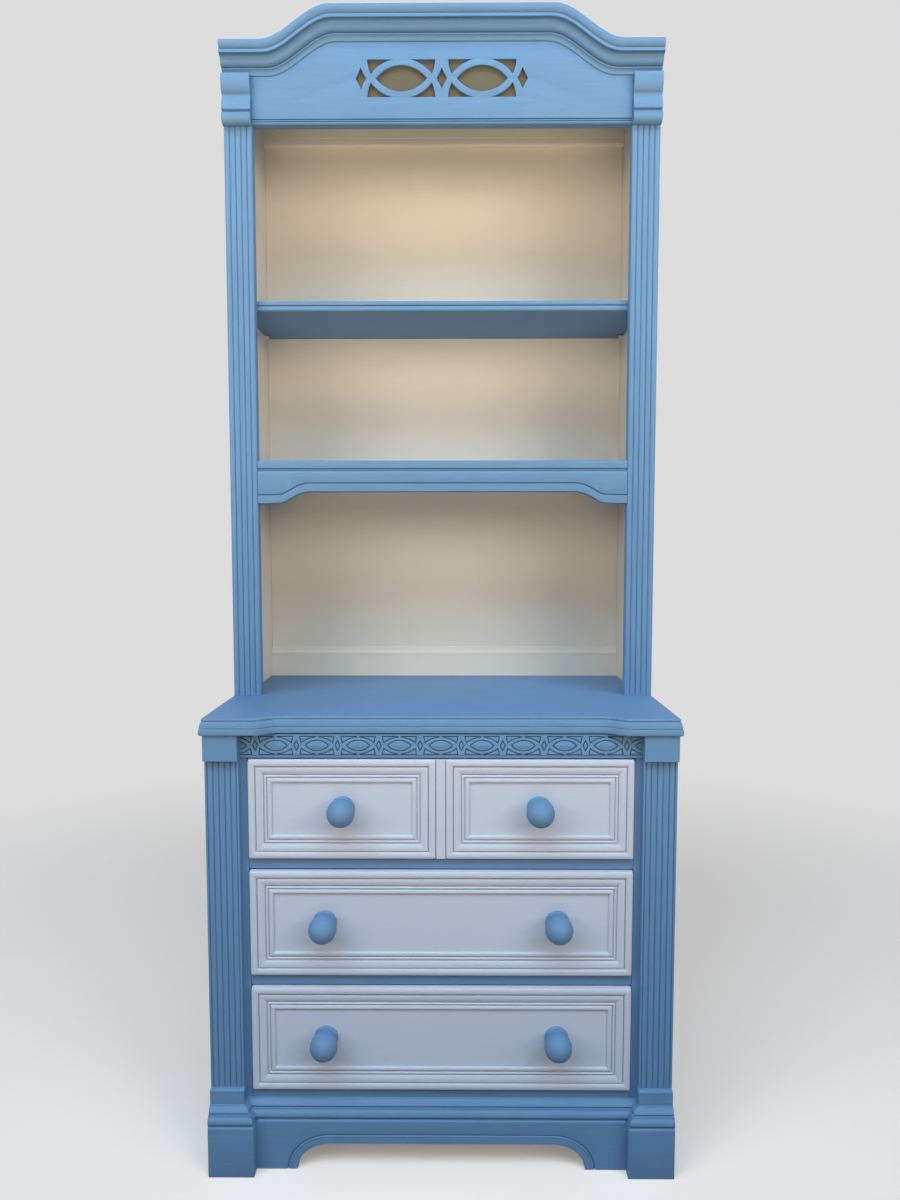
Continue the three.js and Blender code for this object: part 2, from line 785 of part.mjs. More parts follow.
// The cornice section, as shares of its depth and height, from the foot of its face to the top.
const corniceOutShares = [
  0.08, 0.11, 0.11, 0.23, 0.24, 0.22, 0.24, 0.39, 0.5, 0.56, 0.58, 0.64, 0.81, 0.9, 0.9, 0.84, 0.93, 1, 0.985,
  0.93,
];
const corniceRiseShares = [
  0, 0.08, 0.18, 0.19, 0.24, 0.25, 0.26, 0.28, 0.345, 0.43, 0.505, 0.57, 0.6, 0.61, 0.73, 0.745, 0.78, 0.86,
  0.96, 1,
];

function makeCornice() {
  const back = hutchSetback - glue;
  const rings = archStations(caseHalf, 0).map((x) => {
    const face = corniceOutShares.map((share, i) => {
      const rise = corniceRiseShares[i];
      const lift = archHeight(Math.max(Math.abs(x) - corniceLean * rise, 0));
      return new THREE.Vector3(x, back - share * corniceDepth, corniceBase + lift + rise * corniceHeight);
    });
    const topLift = archHeight(Math.max(Math.abs(x) - corniceLean, 0));
    face.push(new THREE.Vector3(x, back, corniceTop + topLift));
    face.push(new THREE.Vector3(x, back, corniceBase + archHeight(x)));
    return face;
  });
  place("cornice", blue, skin(rings));
}

// The capital section, from its foot to its top: a curled band, a step, a hollow and a swell.
const capitalOutShares = [
  0.1, 0.4, 0.68, 0.8, 0.8, 0.58, 0.58, 0.66, 0.7, 0.66, 0.5, 0.36, 0.45, 0.66, 0.82, 0.86, 0.82,
];
const capitalRiseShares = [
  0, 0.02, 0.08, 0.15, 0.25, 0.27, 0.32, 0.35, 0.43, 0.5, 0.57, 0.65, 0.7, 0.75, 0.83, 0.9, 1,
];

function makeCapital(name, side) {
  const back = hutchSetback - glue;
  const low = corniceBase - capitalHeight;
  const height = capitalHeight - glue;
  const outline = capitalOutShares.map((share, i) =>
    point(back - share * capitalDepth, low + capitalRiseShares[i] * height),
  );
  outline.push(point(back, low + height), point(back, low));
  const edges = [side * stileInner, side * caseHalf].sort((a, b) => a - b);
  place(name, blue, alongX(outline.reverse(), edges));
}

// The pierced pattern is drawn from the crossing arcs of two pointed ovals.
function fretHoles(centreZ) {
  const a = (fretPitch * ovalLengthShare) / 2;
  const b = (fretPitch * ovalHeightShare) / 2;
  const fretHalfHeight = fretPitch * fretHalfHeightShare;
  const fretBand = fretPitch * fretBandShare;
  const fretReturn = fretPitch * fretReturnShare;
  const radius = (a * a + b * b) / (2 * b);
  const offset = radius - b;
  const outer = radius + fretBand;
  const inner = radius + fretReturn;
  const next = inner + fretBand;
  const holes = [];

  // On a circle about (0, side * offset), the X that belongs to a height.
  const across = (r, side, z) => Math.sqrt(r * r - (z - side * offset) ** 2);
  const curve = (r, side, from, to) => {
    const points = [];
    for (let i = 0; i <= arcSteps; i++) {
      const z = from + ((to - from) * i) / arcSteps;
      points.push(point(across(r, side, z), z));
    }
    return points;
  };

  // Where the outer edge of one arc meets the near edge of the one that crosses it.
  let corner = 0;
  for (let step = fretHalfHeight / 2; step > glue / 100; step /= 2) {
    const z = corner + step;
    if (across(outer, -1, z) > across(inner, 1, z)) corner = z;
  }

  for (const centre of [-fretPitch / 2, fretPitch / 2]) {
    const half = Math.asin(a / radius) / (2 * Math.PI);
    const lower = arc(0, offset, radius, radius, 0.75 - half, 0.75 + half, 2 * arcSteps);
    const upper = arc(0, -offset, radius, radius, 0.25 - half, 0.25 + half, 2 * arcSteps);
    const oval = [...lower.slice(0, -1), ...upper.slice(0, -1)];
    holes.push(oval.map((p) => point(centre + p.x, centreZ + p.y)));

    const toTop = curve(inner, 1, corner, fretHalfHeight);
    const toCorner = curve(outer, -1, fretHalfHeight, corner);
    const triangle = [...toTop, ...toCorner.slice(0, -1)];
    for (const signX of [-1, 1]) {
      for (const signZ of [-1, 1]) {
        holes.push(triangle.map((p) => point(centre + signX * p.x, centreZ + signZ * p.y)));
      }
    }
  }

  const tip = offset - Math.sqrt(next * next - (fretPitch / 2) ** 2);
  const side = curve(next, 1, 0, tip).map((p) => point(p.x - fretPitch / 2, p.y));
  for (const centre of [-fretPitch, 0, fretPitch]) {
    const quarter = side.slice(0, -1);
    const right = [...quarter, point(0, tip)];
    const upper = [...right, ...quarter.map((p) => point(-p.x, p.y)).reverse()];
    const lower = upper.map((p) => point(p.x, -p.y)).reverse();
    const diamond = [...upper, ...lower.slice(1, -1)];
    holes.push(diamond.map((p) => point(centre + p.x, centreZ + p.y)));
  }
  return holes;
}

function friezeOutline(half, low) {
  const top = corniceTop - friezeTopDrop;
  const outline = archStations(half, corniceLean).map((x) => {
    const lift = archHeight(Math.max(Math.abs(x) - corniceLean, 0));
    return point(x, top + lift);
  });
  return [point(half, low), ...outline.reverse(), point(-half, low)];
}

function makeFrieze() {
  const half = stileInner - glue;
  const low = corniceBase - friezeDrop;
  const outline = friezeOutline(half, low);
  const centreZ = corniceBase - fretDrop;
  const faceBack = hutchSetback + friezeThickness;
  const cutDepth = [hutchSetback - cutOverrun, faceBack + cutOverrun];
  let panel = toSolid(alongY(outline, [hutchSetback, faceBack]));
  for (const hole of fretHoles(centreZ)) panel = panel.subtract(toSolid(alongY(hole, cutDepth)));
  place("frieze_panel", blue, fromSolid(panel));
  place("frieze_backing", beige, alongY(outline, [faceBack + glue, stileBack]));
  const railFront = hutchSetback - friezeRailProud;
  const railTop = low - glue;
  board("frieze_rail", blue, [-half, half], [railFront, stileBack], [railTop - friezeRailHeight, railTop]);
}

function makeHutch() {
  makeHutchSide("hutch_side_left", -1);
  makeHutchSide("hutch_side_right", 1);
  const width = [glue - hutchInner, hutchInner - glue];
  const backDepth = [hutchBackFace, hutchBackFace + hutchBackThickness];
  board("hutch_back", beige, width, backDepth, [worktopTop + glue, hutchTop]);
  board("hutch_roof", beige, width, [stileBack + glue, hutchBackFace - glue], [hutchCeiling, hutchTop]);
  const hangDepth = [hutchBackFace - glue - hangRailDepth, hutchBackFace - glue];
  const hangTop = hutchCeiling - glue;
  board("hutch_hanging_rail", beige, width, hangDepth, [hangTop - hangRailHeight, hangTop]);
  makeBackRail();
  makeStile("hutch_stile_left", -1);
  makeStile("hutch_stile_right", 1);
  makeShelves();
  makeApron();
  makeCornice();
  makeCapital("capital_left", -1);
  makeCapital("capital_right", 1);
  makeFrieze();
}

makeCase();
makeDrawer(0, "bottom_drawer");
makeDrawer(1, "middle_drawer");
makeDrawer(2, "top_drawer");
makeHutch();

// The origin lies on the floor under the middle of the whole piece, knobs included.
const frontMost = panelFace - knobReach;
model.position.y = -(frontMost + caseDepth) / 2;

const part = new THREE.Group();
part.add(model);
part.updateMatrixWorld(true);

export default part;
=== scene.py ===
import bpy
import bmesh
import math
from mathutils import Matrix, Vector

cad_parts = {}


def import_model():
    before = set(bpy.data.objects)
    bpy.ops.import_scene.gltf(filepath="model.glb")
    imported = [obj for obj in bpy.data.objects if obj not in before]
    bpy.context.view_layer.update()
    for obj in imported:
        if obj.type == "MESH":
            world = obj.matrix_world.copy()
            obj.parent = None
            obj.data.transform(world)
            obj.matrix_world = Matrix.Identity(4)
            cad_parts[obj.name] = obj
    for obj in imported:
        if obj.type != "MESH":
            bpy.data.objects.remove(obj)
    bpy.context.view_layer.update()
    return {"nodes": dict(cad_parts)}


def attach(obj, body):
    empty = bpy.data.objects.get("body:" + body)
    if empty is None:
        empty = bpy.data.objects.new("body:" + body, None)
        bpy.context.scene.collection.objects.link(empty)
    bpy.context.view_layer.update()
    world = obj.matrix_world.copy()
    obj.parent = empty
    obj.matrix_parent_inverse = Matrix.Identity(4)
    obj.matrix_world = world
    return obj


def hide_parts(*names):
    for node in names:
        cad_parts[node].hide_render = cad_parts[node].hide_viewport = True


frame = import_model()

# Lengths are in millimetres unless metres are named. Depth is counted from the front face of
# the case, and SHIFT carries it into the part's own frame.
SHIFT = -182.2
MM = 0.001
SIDES = ((-1, "left"), (1, "right"))


# -------------------------------- objects and meshes
def world(x, y, z):
    return Vector((x * MM, (y + SHIFT) * MM, z * MM))


def link_object(name, data):
    obj = bpy.data.objects.new(name, data)
    bpy.context.scene.collection.objects.link(obj)
    return obj


def turn_outwards(mesh, weld=0.0):
    """Turns the faces outwards. Points closer than weld, in metres, are joined first."""
    bm = bmesh.new()
    bm.from_mesh(mesh)
    if weld:
        bmesh.ops.remove_doubles(bm, verts=bm.verts, dist=weld)
    bmesh.ops.recalc_face_normals(bm, faces=bm.faces)
    bm.to_mesh(mesh)
    bm.free()


def shade_smooth(mesh, angle):
    """Smooth shading, with a sharp edge where two faces meet at more than the angle."""
    for polygon in mesh.polygons:
        polygon.use_smooth = True
    mesh.set_sharp_from_angle(angle=math.radians(angle))


def evaluated_mesh(obj):
    bpy.context.view_layer.update()
    graph = bpy.context.evaluated_depsgraph_get()
    return bpy.data.meshes.new_from_object(obj.evaluated_get(graph))


def make(name, verts, faces, smooth=35):
    """A mesh object from points in millimetres, with its faces turned outwards."""
    mesh = bpy.data.meshes.new(name)
    mesh.from_pydata([world(*v) for v in verts], [], faces)
    turn_outwards(mesh)
    obj = link_object(name, mesh)
    shade_smooth(mesh, smooth)
    return obj


# -------------------------------- camera
CAMERA_PLACE = (0.023367, -1.507294, 1.029106)
CAMERA_ANGLES = (4.078, -0.369, -0.029)  # degrees down, about the upright axis, and of roll
FOCAL_PIXELS = 841.251
PICTURE_HEIGHT = 1200
SENSOR_HEIGHT = 24


def add_camera():
    pitch, yaw, roll = (math.radians(a) for a in CAMERA_ANGLES)
    forward = Vector((
        math.sin(yaw) * math.cos(pitch), math.cos(yaw) * math.cos(pitch), -math.sin(pitch)))
    right = Vector((math.cos(yaw), -math.sin(yaw), 0))
    up = right.cross(forward)
    turned_right = right * math.cos(roll) + up * math.sin(roll)
    turned_up = up * math.cos(roll) - right * math.sin(roll)
    data = bpy.data.cameras.new("camera")
    data.sensor_fit = "VERTICAL"
    data.sensor_height = SENSOR_HEIGHT
    data.lens = FOCAL_PIXELS / PICTURE_HEIGHT * SENSOR_HEIGHT
    data.clip_start = 0.01
    camera = link_object("camera", data)
    basis = Matrix((turned_right, turned_up, -forward)).transposed()
    camera.matrix_world = Matrix.Translation(CAMERA_PLACE) @ basis.to_4x4()
    bpy.context.scene.camera = camera


add_camera()


# -------------------------------- curves and solids
def arcs(points, steps):
    """Points (a, b, bend): bend is the height of the arc to the next point over half its chord,
    and 0 is a straight line. A positive bend lies to the left of the way along."""
    out = []
    for i, p in enumerate(points):
        out.append((p[0], p[1]))
        bend = p[2]
        if not bend or i + 1 >= len(points):
            continue
        q = points[i + 1]
        dx, dy = q[0] - p[0], q[1] - p[1]
        chord = math.hypot(dx, dy)
        height = bend * chord / 2
        radius = (chord * chord / 4 + height * height) / (2 * height)
        nx, ny = -dy / chord, dx / chord
        cx = (p[0] + q[0]) / 2 + nx * (height - radius)
        cy = (p[1] + q[1]) / 2 + ny * (height - radius)
        start = math.atan2(p[1] - cy, p[0] - cx)
        sweep = 4 * math.atan(abs(bend)) * (1 if bend > 0 else -1)
        for s in range(1, steps):
            angle = start - sweep * s / steps
            out.append((cx + abs(radius) * math.cos(angle), cy + abs(radius) * math.sin(angle)))
    return out


def flow(points, steps=5):
    """A smooth curve through points (a, b). A third value marks a corner, and the way from one
    corner to the next is straight."""
    last = len(points) - 1
    spots = [Vector(p[:2]) for p in points]
    corner = [len(p) > 2 or i in (0, last) for i, p in enumerate(points)]
    out = []
    for i in range(last):
        chord = spots[i + 1] - spots[i]
        if corner[i] and corner[i + 1]:
            out.append(tuple(spots[i]))
            continue
        lean = [
            None if corner[k] else (spots[k + 1] - spots[k - 1]).normalized() * chord.length
            for k in (i, i + 1)
        ]
        a = lean[0] if lean[0] is not None else (chord * 3 - lean[1]) / 2
        b = lean[1] if lean[1] is not None else (chord * 3 - lean[0]) / 2
        for s in range(steps):
            t = s / steps
            out.append(tuple(
                spots[i] * (2 * t ** 3 - 3 * t ** 2 + 1) + a * (t ** 3 - 2 * t ** 2 + t)
                + spots[i + 1] * (3 * t ** 2 - 2 * t ** 3) + b * (t ** 3 - t ** 2)))
    out.append(tuple(spots[last]))
    return out


def ogee(t):
    """An S from 0 to 1, as t goes from 0 to 1."""
    t = min(max(t, 0.0), 1.0)
    return (1 - math.cos(math.pi * t)) / 2


def mirrored(right):
    """An outline of (x, y) points with its left half in front of the given right half."""
    return [(-x, y) for x, y in reversed(right)] + right


def loft(rings, looped=False):
    """Quads between closed rings of the same length. The first and the last ring are filled in,
    or joined to each other if looped."""
    count = len(rings[0])
    verts = [v for ring in rings for v in ring]
    faces = []
    for r in range(len(rings) if looped else len(rings) - 1):
        a, b = r * count, ((r + 1) % len(rings)) * count
        for i in range(count):
            j = (i + 1) % count
            faces.append((a + i, a + j, b + j, b + i))
    if not looped:
        faces.append(tuple(range(count))[::-1])
        faces.append(tuple(range((len(rings) - 1) * count, len(rings) * count)))
    return verts, faces


def run_x(name, section, x0, x1, soft, smooth=35):
    """A section of (y, z) points run along X, with its two ends slightly rounded over."""
    cy = sum(p[0] for p in section) / len(section)
    cz = sum(p[1] for p in section) / len(section)
    reach = max([abs(p[0] - cy) for p in section] + [abs(p[1] - cz) for p in section])

    def ring(x, draw):
        k = 1 - draw / reach
        return [(x, cy + (y - cy) * k, cz + (z - cz) * k) for y, z in section]

    rings = [ring(x0, soft), ring(x0 + soft * 0.3, soft * 0.3), ring(x0 + soft, 0)]
    rings += [ring(x1 - soft, 0), ring(x1 - soft * 0.3, soft * 0.3), ring(x1, soft)]
    return make(name, *loft(rings), smooth=smooth)


def run_z(name, section, z0, z1):
    return make(name, *loft([[(x, y, z) for x, y in section] for z in (z0, z1)]))


def lathe(name, profile, centre, segments=56):
    """A turned shape on an axis along Y: profile is (radius, y) from back to front."""
    verts, faces = [], []
    for r, y in profile:
        for s in range(segments):
            a = 2 * math.pi * s / segments
            verts.append((
                centre[0] + r * math.cos(a), centre[1] + y, centre[2] + r * math.sin(a)))
    for i in range(len(profile) - 1):
        a, b = i * segments, (i + 1) * segments
        for s in range(segments):
            t = (s + 1) % segments
            faces.append((a + s, a + t, b + t, b + s))
    last = (len(profile) - 1) * segments
    faces.append(tuple(range(segments))[::-1])
    faces.append(tuple(range(last, last + segments)))
    return make(name, verts, faces, smooth=30)


# -------------------------------- materials
def rgb(r, g, b):
    def linear(c):
        c /= 255
        return c / 12.92 if c <= 0.04045 else ((c + 0.055) / 1.055) ** 2.4
    return (linear(r), linear(g), linear(b), 1)


class Nodes:
    """A material and its nodes. Its shader is linked to its output."""

    def __init__(self, name):
        self.material = bpy.data.materials.new(name)
        self.material.use_nodes = True
        self.tree = self.material.node_tree
        self.tree.nodes.clear()
        self.output = self.add("ShaderNodeOutputMaterial")
        self.shader = self.add("ShaderNodeBsdfPrincipled")
        self.link(self.shader.outputs[0], self.output.inputs[0])

    def add(self, kind, **values):
        return self.put(self.tree.nodes.new(kind), **values)

    def put(self, node, **values):
        """Sets a node's own settings, or else its inputs, whose names have spaces for _."""
        for key, value in values.items():
            if hasattr(node, key):
                setattr(node, key, value)
            else:
                node.inputs[key.replace("_", " ")].default_value = value
        return node

    def link(self, a, b):
        self.tree.links.new(a, b)

    def mix(self, factor, a, b, mode="MIX"):
        node = self.add("ShaderNodeMix", data_type="RGBA", blend_type=mode)
        for socket, value in ((node.inputs[0], factor), (node.inputs[6], a), (node.inputs[7], b)):
            if isinstance(value, (int, float, tuple)):
                socket.default_value = value
            else:
                self.link(value, socket)
        return node.outputs[2]

    def noise(self, vector, scale, detail, rough=0.55, stretch=(1, 1, 1)):
        mapping = self.add("ShaderNodeMapping", Scale=stretch)
        self.link(vector, mapping.inputs["Vector"])
        node = self.add("ShaderNodeTexNoise", Scale=scale, Detail=detail, Roughness=rough)
        self.link(mapping.outputs[0], node.inputs["Vector"])
        return node.outputs["Fac"]

    def ramp(self, value, stops):
        """Stops are (position, colour or grey level)."""
        node = self.add("ShaderNodeValToRGB")
        while len(node.color_ramp.elements) < len(stops):
            node.color_ramp.elements.new(0.5)
        for element, (at, colour) in zip(node.color_ramp.elements, stops):
            element.position = at
            element.color = colour if isinstance(colour, tuple) else (colour, colour, colour, 1)
        self.link(value, node.inputs[0])
        return node.outputs[0]

    def scale_to(self, value, low, high):
        node = self.add("ShaderNodeMapRange", To_Min=low, To_Max=high)
        self.link(value, node.inputs["Value"])
        return node.outputs[0]

    def past(self, where, axis, edge):
        """1 where a place is further than edge, in metres, from the origin along an axis."""
        split = self.add("ShaderNodeSeparateXYZ")
        self.link(where, split.inputs[0])
        distance = self.add("ShaderNodeMath", operation="ABSOLUTE")
        self.link(split.outputs[axis], distance.inputs[0])
        beyond = self.add("ShaderNodeMath", operation="GREATER_THAN")
        beyond.inputs[1].default_value = edge
        self.link(distance.outputs[0], beyond.inputs[0])
        return beyond.outputs[0]


def paint(name, colour, shade, tint, rough=(0.48, 0.6), along="x", marks=0.1, outside=()):
    """Brushed satin paint over wood: a faint drift of colour, brush marks and a fine orange peel.
    outside holds (axis, metres, colour): past that distance the board has that colour."""
    n = Nodes(name)
    where = n.add("ShaderNodeTexCoord").outputs["Object"]
    stretch = {"x": (0.06, 1, 1), "z": (1, 1, 0.06)}[along]
    drift = n.noise(where, 2.2, 3, 0.5)
    cloud = n.noise(where, 9, 4, 0.6)
    brush = n.noise(where, 260, 3, 0.6, stretch)
    peel = n.noise(where, 900, 2, 0.5)
    base = n.mix(n.ramp(drift, [(0.35, 0.0), (0.65, 1.0)]), colour, shade)
    base = n.mix(n.ramp(cloud, [(0.5, 0.0), (0.8, 0.5)]), base, tint)
    for axis, edge, cover in outside:
        base = n.mix(n.past(where, axis, edge), base, cover)
    streak = n.mix(marks, base, n.ramp(brush, [(0.3, 0.3), (0.7, 0.75)]), "OVERLAY")
    n.link(streak, n.shader.inputs["Base Color"])
    n.link(n.scale_to(cloud, *rough), n.shader.inputs["Roughness"])
    n.put(n.shader, Specular_IOR_Level=0.25)
    first = n.add("ShaderNodeBump", Strength=0.16, Distance=0.0006)
    n.link(brush, first.inputs["Height"])
    second = n.add("ShaderNodeBump", Strength=0.1, Distance=0.0003)
    n.link(peel, second.inputs["Height"])
    n.link(first.outputs[0], second.inputs["Normal"])
    n.link(second.outputs[0], n.shader.inputs["Normal"])
    return n.material


def bare_wood(name, along):
    """Pale pine with growth rings drawn out along the board."""
    n = Nodes(name)
    where = n.add("ShaderNodeTexCoord").outputs["Object"]
    stretch = {"x": (0.35, 5, 5), "y": (5, 0.35, 5)}[along]
    mapping = n.add("ShaderNodeMapping", Scale=stretch)
    n.link(where, mapping.inputs["Vector"])
    warp = n.add("ShaderNodeTexNoise", Scale=1.6, Detail=3.0)
    n.link(mapping.outputs[0], warp.inputs["Vector"])
    rings = n.add(
        "ShaderNodeTexWave", bands_direction="DIAGONAL",
        Scale=2.4, Distortion=7.5, Detail=2.5, Detail_Scale=0.8)
    n.link(mapping.outputs[0], rings.inputs["Vector"])
    fine = n.noise(where, 140, 4, 0.65, tuple(v * 0.35 for v in stretch))
    grain = n.ramp(rings.outputs["Fac"], [
        (0.0, rgb(216, 178, 124)), (0.62, rgb(209, 168, 113)), (0.95, rgb(192, 146, 94))])
    patches = n.ramp(warp.outputs["Fac"], [(0.3, rgb(224, 192, 142)), (0.75, rgb(186, 138, 86))])
    grain = n.mix(0.35, grain, patches)
    grain = n.mix(0.25, grain, n.ramp(fine, [(0.3, 0.25), (0.7, 0.8)]), "OVERLAY")
    n.link(grain, n.shader.inputs["Base Color"])
    n.link(n.scale_to(fine, 0.55, 0.75), n.shader.inputs["Roughness"])
    bump = n.add("ShaderNodeBump", Strength=0.2, Distance=0.0005)
    n.link(fine, bump.inputs["Height"])
    n.link(bump.outputs[0], n.shader.inputs["Normal"])
    return n.material


# the colour of a paint, its shade and its tint
BLUES = (rgb(102, 138, 175), rgb(97, 133, 171), rgb(108, 144, 180))
# the drawers' off-white: partly the paint's own colour, partly painted bluish sky shade, since it
# is cooler and darker than the same paint's cream inside
WHITES_PAINTED_SKY_SHADE = (rgb(197, 201, 215), rgb(193, 197, 212), rgb(201, 204, 216))
CREAMS = (rgb(224, 216, 204), rgb(219, 211, 198), rgb(229, 222, 213))
# a dark tan for the cream backing behind the pierced frieze: painted shade, standing in for the
# deep shade the backing lies in
PAINTED_SHADE_TANS = (rgb(101, 92, 74), rgb(95, 86, 69), rgb(107, 99, 82))
BLUE = paint("blue_paint_along", *BLUES)
BLUE_UP = paint("blue_paint_upright", *BLUES, along="z")
# off-white drawer paint with painted bluish shade in its colour
WHITE_PAINTED_SKY_SHADE = paint("white_paint_sky_shade_along", *WHITES_PAINTED_SKY_SHADE, marks=0.06)
CREAM = paint("cream_paint_along", *CREAMS, marks=0.05)

# The sides and the back of the hutch are cream on the inside only, and its roof is blue. The
# limits are in metres: about 1 mm past the inner faces, and just under the roof.
OUTER_SIDE = ("X", 0.3565, BLUES[0])
OUTER_BACK = ("Y", 0.2225, rgb(168, 136, 98))
OUTER_ROOF = ("Z", 1.846, BLUES[0])
SIDE_BOARD = paint(
    "cream_paint_side", *CREAMS, along="z", marks=0.05, outside=(OUTER_SIDE, OUTER_ROOF))
BACK_BOARD = paint("cream_paint_back", *CREAMS, marks=0.05, outside=(OUTER_BACK,))
ROOF_BOARD = paint("cream_paint_roof", *CREAMS, marks=0.05, outside=(OUTER_ROOF,))
# the frieze backing's material carries painted shade: cream paint darkened to tan
BACKING_PAINTED_SHADE = paint("painted_shade_backing_paint", *PAINTED_SHADE_TANS, rough=(0.6, 0.75), marks=0.05)
PINE_X = bare_wood("pine_along_x", "x")
PINE_Y = bare_wood("pine_along_y", "y")

# a finish: its material and its slot
LOOKS = {
    "blue": (BLUE, "blue_paint"),
    "blue_up": (BLUE_UP, "blue_paint"),
    "white": (WHITE_PAINTED_SKY_SHADE, "cream_paint"),
    "cream": (CREAM, "inner_paint"),
}


def dress(obj, material):
    obj.data.materials.clear()
    obj.data.materials.append(material)


def piece(obj, look, body, *nodes):
    """The piece stands for the named nodes, rides on a body and takes a finish."""
    material, slot = LOOKS[look]
    dress(obj, material)
    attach(obj, body)
    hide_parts(*nodes)


# -------------------------------- sizes, as in the part
# half widths
CASE = 376.5
TOP_HALF = 381.0
STILE_IN = 327.5
HUTCH_IN = 355.5
DRAWER = 308.8
# depths
HUTCH_FACE = 176.0
STILE_BACK = 194.0
BACK_FACE = 404.0
# heights over the floor
SKIRT_LOW = 1.5
FOOT_TOP = 84.5
PLINTH_LOW = 113.5
CASE_TOP = 722.1
WORKTOP = 749.4
FIXED_SHELF_TOP = 1169.6
LOOSE_SHELF_TOP = 1451.0
CORNICE_BASE = 1822.3
HUTCH_CEILING = 1849.8
HUTCH_TOP = 1865.8
CORNICE_TOP = 1869.8
# sizes of single pieces
PLINTH_HEIGHT = 23.3
CAP_HEIGHT = 42.0
CAP_WIDTH = 55.0
PILASTER_WIDTH = 54.4
FOOT_WIDTH = 74.5
SHELF_THICK = 17.4
FRIEZE_THICK = 6.4
CAPITAL_HEIGHT = 83.0
CORNICE_HEIGHT = 47.5
CORNICE_LEAN = 10.0  # how much further out the arch falls at the cornice's upper edge
ARCH_RISE = 56.5
ARCH_START = 179.0
ARCH_LENGTH = 120.0
GAP = 0.2


def arch(x):
    """Height of the arched top over its ends."""
    return ARCH_RISE * ogee(1 - (abs(x) - ARCH_START) / ARCH_LENGTH)


# -------------------------------- worktop
def worktop():
    front, back = -26.5, 418.0
    # the S-shaped step in the front edge, and the radius of the corners
    start, length, depth = 257.0, 40.0, 19.0
    radius = 1.2
    # (inset, height) up the moulded edge
    profile = flow([
        (2.2, 0), (0.9, 0.6), (0.2, 2.2), (0.0, 4.5), (0.1, 8.0), (0.6, 10.2, 1), (1.9, 10.8, 1),
        (1.9, 11.5, 1), (1.2, 12.0), (1.4, 14.5), (2.0, 18.0), (3.4, 21.8, 1), (4.7, 22.4, 1),
        (4.7, 23.2, 1), (3.9, 23.6), (3.7, 25.0), (4.3, 26.5), (5.8, 27.3, 1),
    ])

    def plan(inset):
        inset = max(inset, 0.0)
        edge = []
        for i in range(25):
            t = i / 24
            slope = depth * math.pi * math.sin(math.pi * t) / (2 * length)
            lean = math.hypot(slope, 1)
            edge.append((
                start + length * t + inset * slope / lean,
                front + depth * (1 - ogee(t)) + inset / lean))
        for i in range(6):
            a = math.radians(-90 + 90 * i / 5)
            edge.append((
                TOP_HALF - inset - radius + radius * math.cos(a),
                front + inset + radius + radius * math.sin(a)))
        edge += [
            (TOP_HALF - inset, back - 1.0), (TOP_HALF - inset - 0.3, back - 0.3),
            (TOP_HALF - inset - 1.0, back)]
        return mirrored(edge)

    rings = [[(x, y, CASE_TOP + z) for x, y in plan(inset)] for inset, z in profile]
    piece(make("worktop_board", *loft(rings), smooth=32), "blue", "dresser", "dresser_top")


worktop()


# -------------------------------- reeded strips
def reeded(low, high, front, back, height, fillet, count=5, steps=12):
    """A strip with a row of reeds and, where fillet isn't 0, a flat edge of that width."""
    pitch = (high - low - 2 * fillet) / count
    out = [(low, back)]
    if fillet:
        out += [
            (low, front + 0.7), (low + 0.25, front + 0.2), (low + 0.8, front),
            (low + fillet - 0.5, front), (low + fillet - 0.15, front + 0.5)]
    for reed in range(count):
        centre = low + fillet + pitch * (reed + 0.5)
        for s in range(steps + 1):
            a = math.pi + math.pi * s / steps
            out.append((
                centre + (pitch / 2 - 0.15) * math.cos(a), front + height + height * math.sin(a)))
    if fillet:
        out += [
            (high - fillet + 0.15, front + 0.5), (high - fillet + 0.5, front),
            (high - 0.8, front), (high - 0.25, front + 0.2), (high, front + 0.7)]
    out.append((high, back))
    return out


def reeded_strip(name, side, section, z0, z1, node):
    strip = run_z(name, [(side * x, y) for x, y in section], z0, z1)
    piece(strip, "blue_up", "dresser", node)


for side, label in SIDES:
    section = reeded(CASE - PILASTER_WIDTH, CASE, -11.2, -GAP, height=2.6, fillet=3.6)
    reeded_strip(
        f"reeded_pilaster_{label}", side, section,
        PLINTH_LOW + PLINTH_HEIGHT + GAP, CASE_TOP - CAP_HEIGHT - GAP, f"pilaster_{label}")
    section = reeded(STILE_IN, CASE, HUTCH_FACE, STILE_BACK, height=2.8, fillet=0)
    reeded_strip(
        f"reeded_stile_{label}", side, section, WORKTOP + GAP, HUTCH_TOP, f"hutch_stile_{label}")


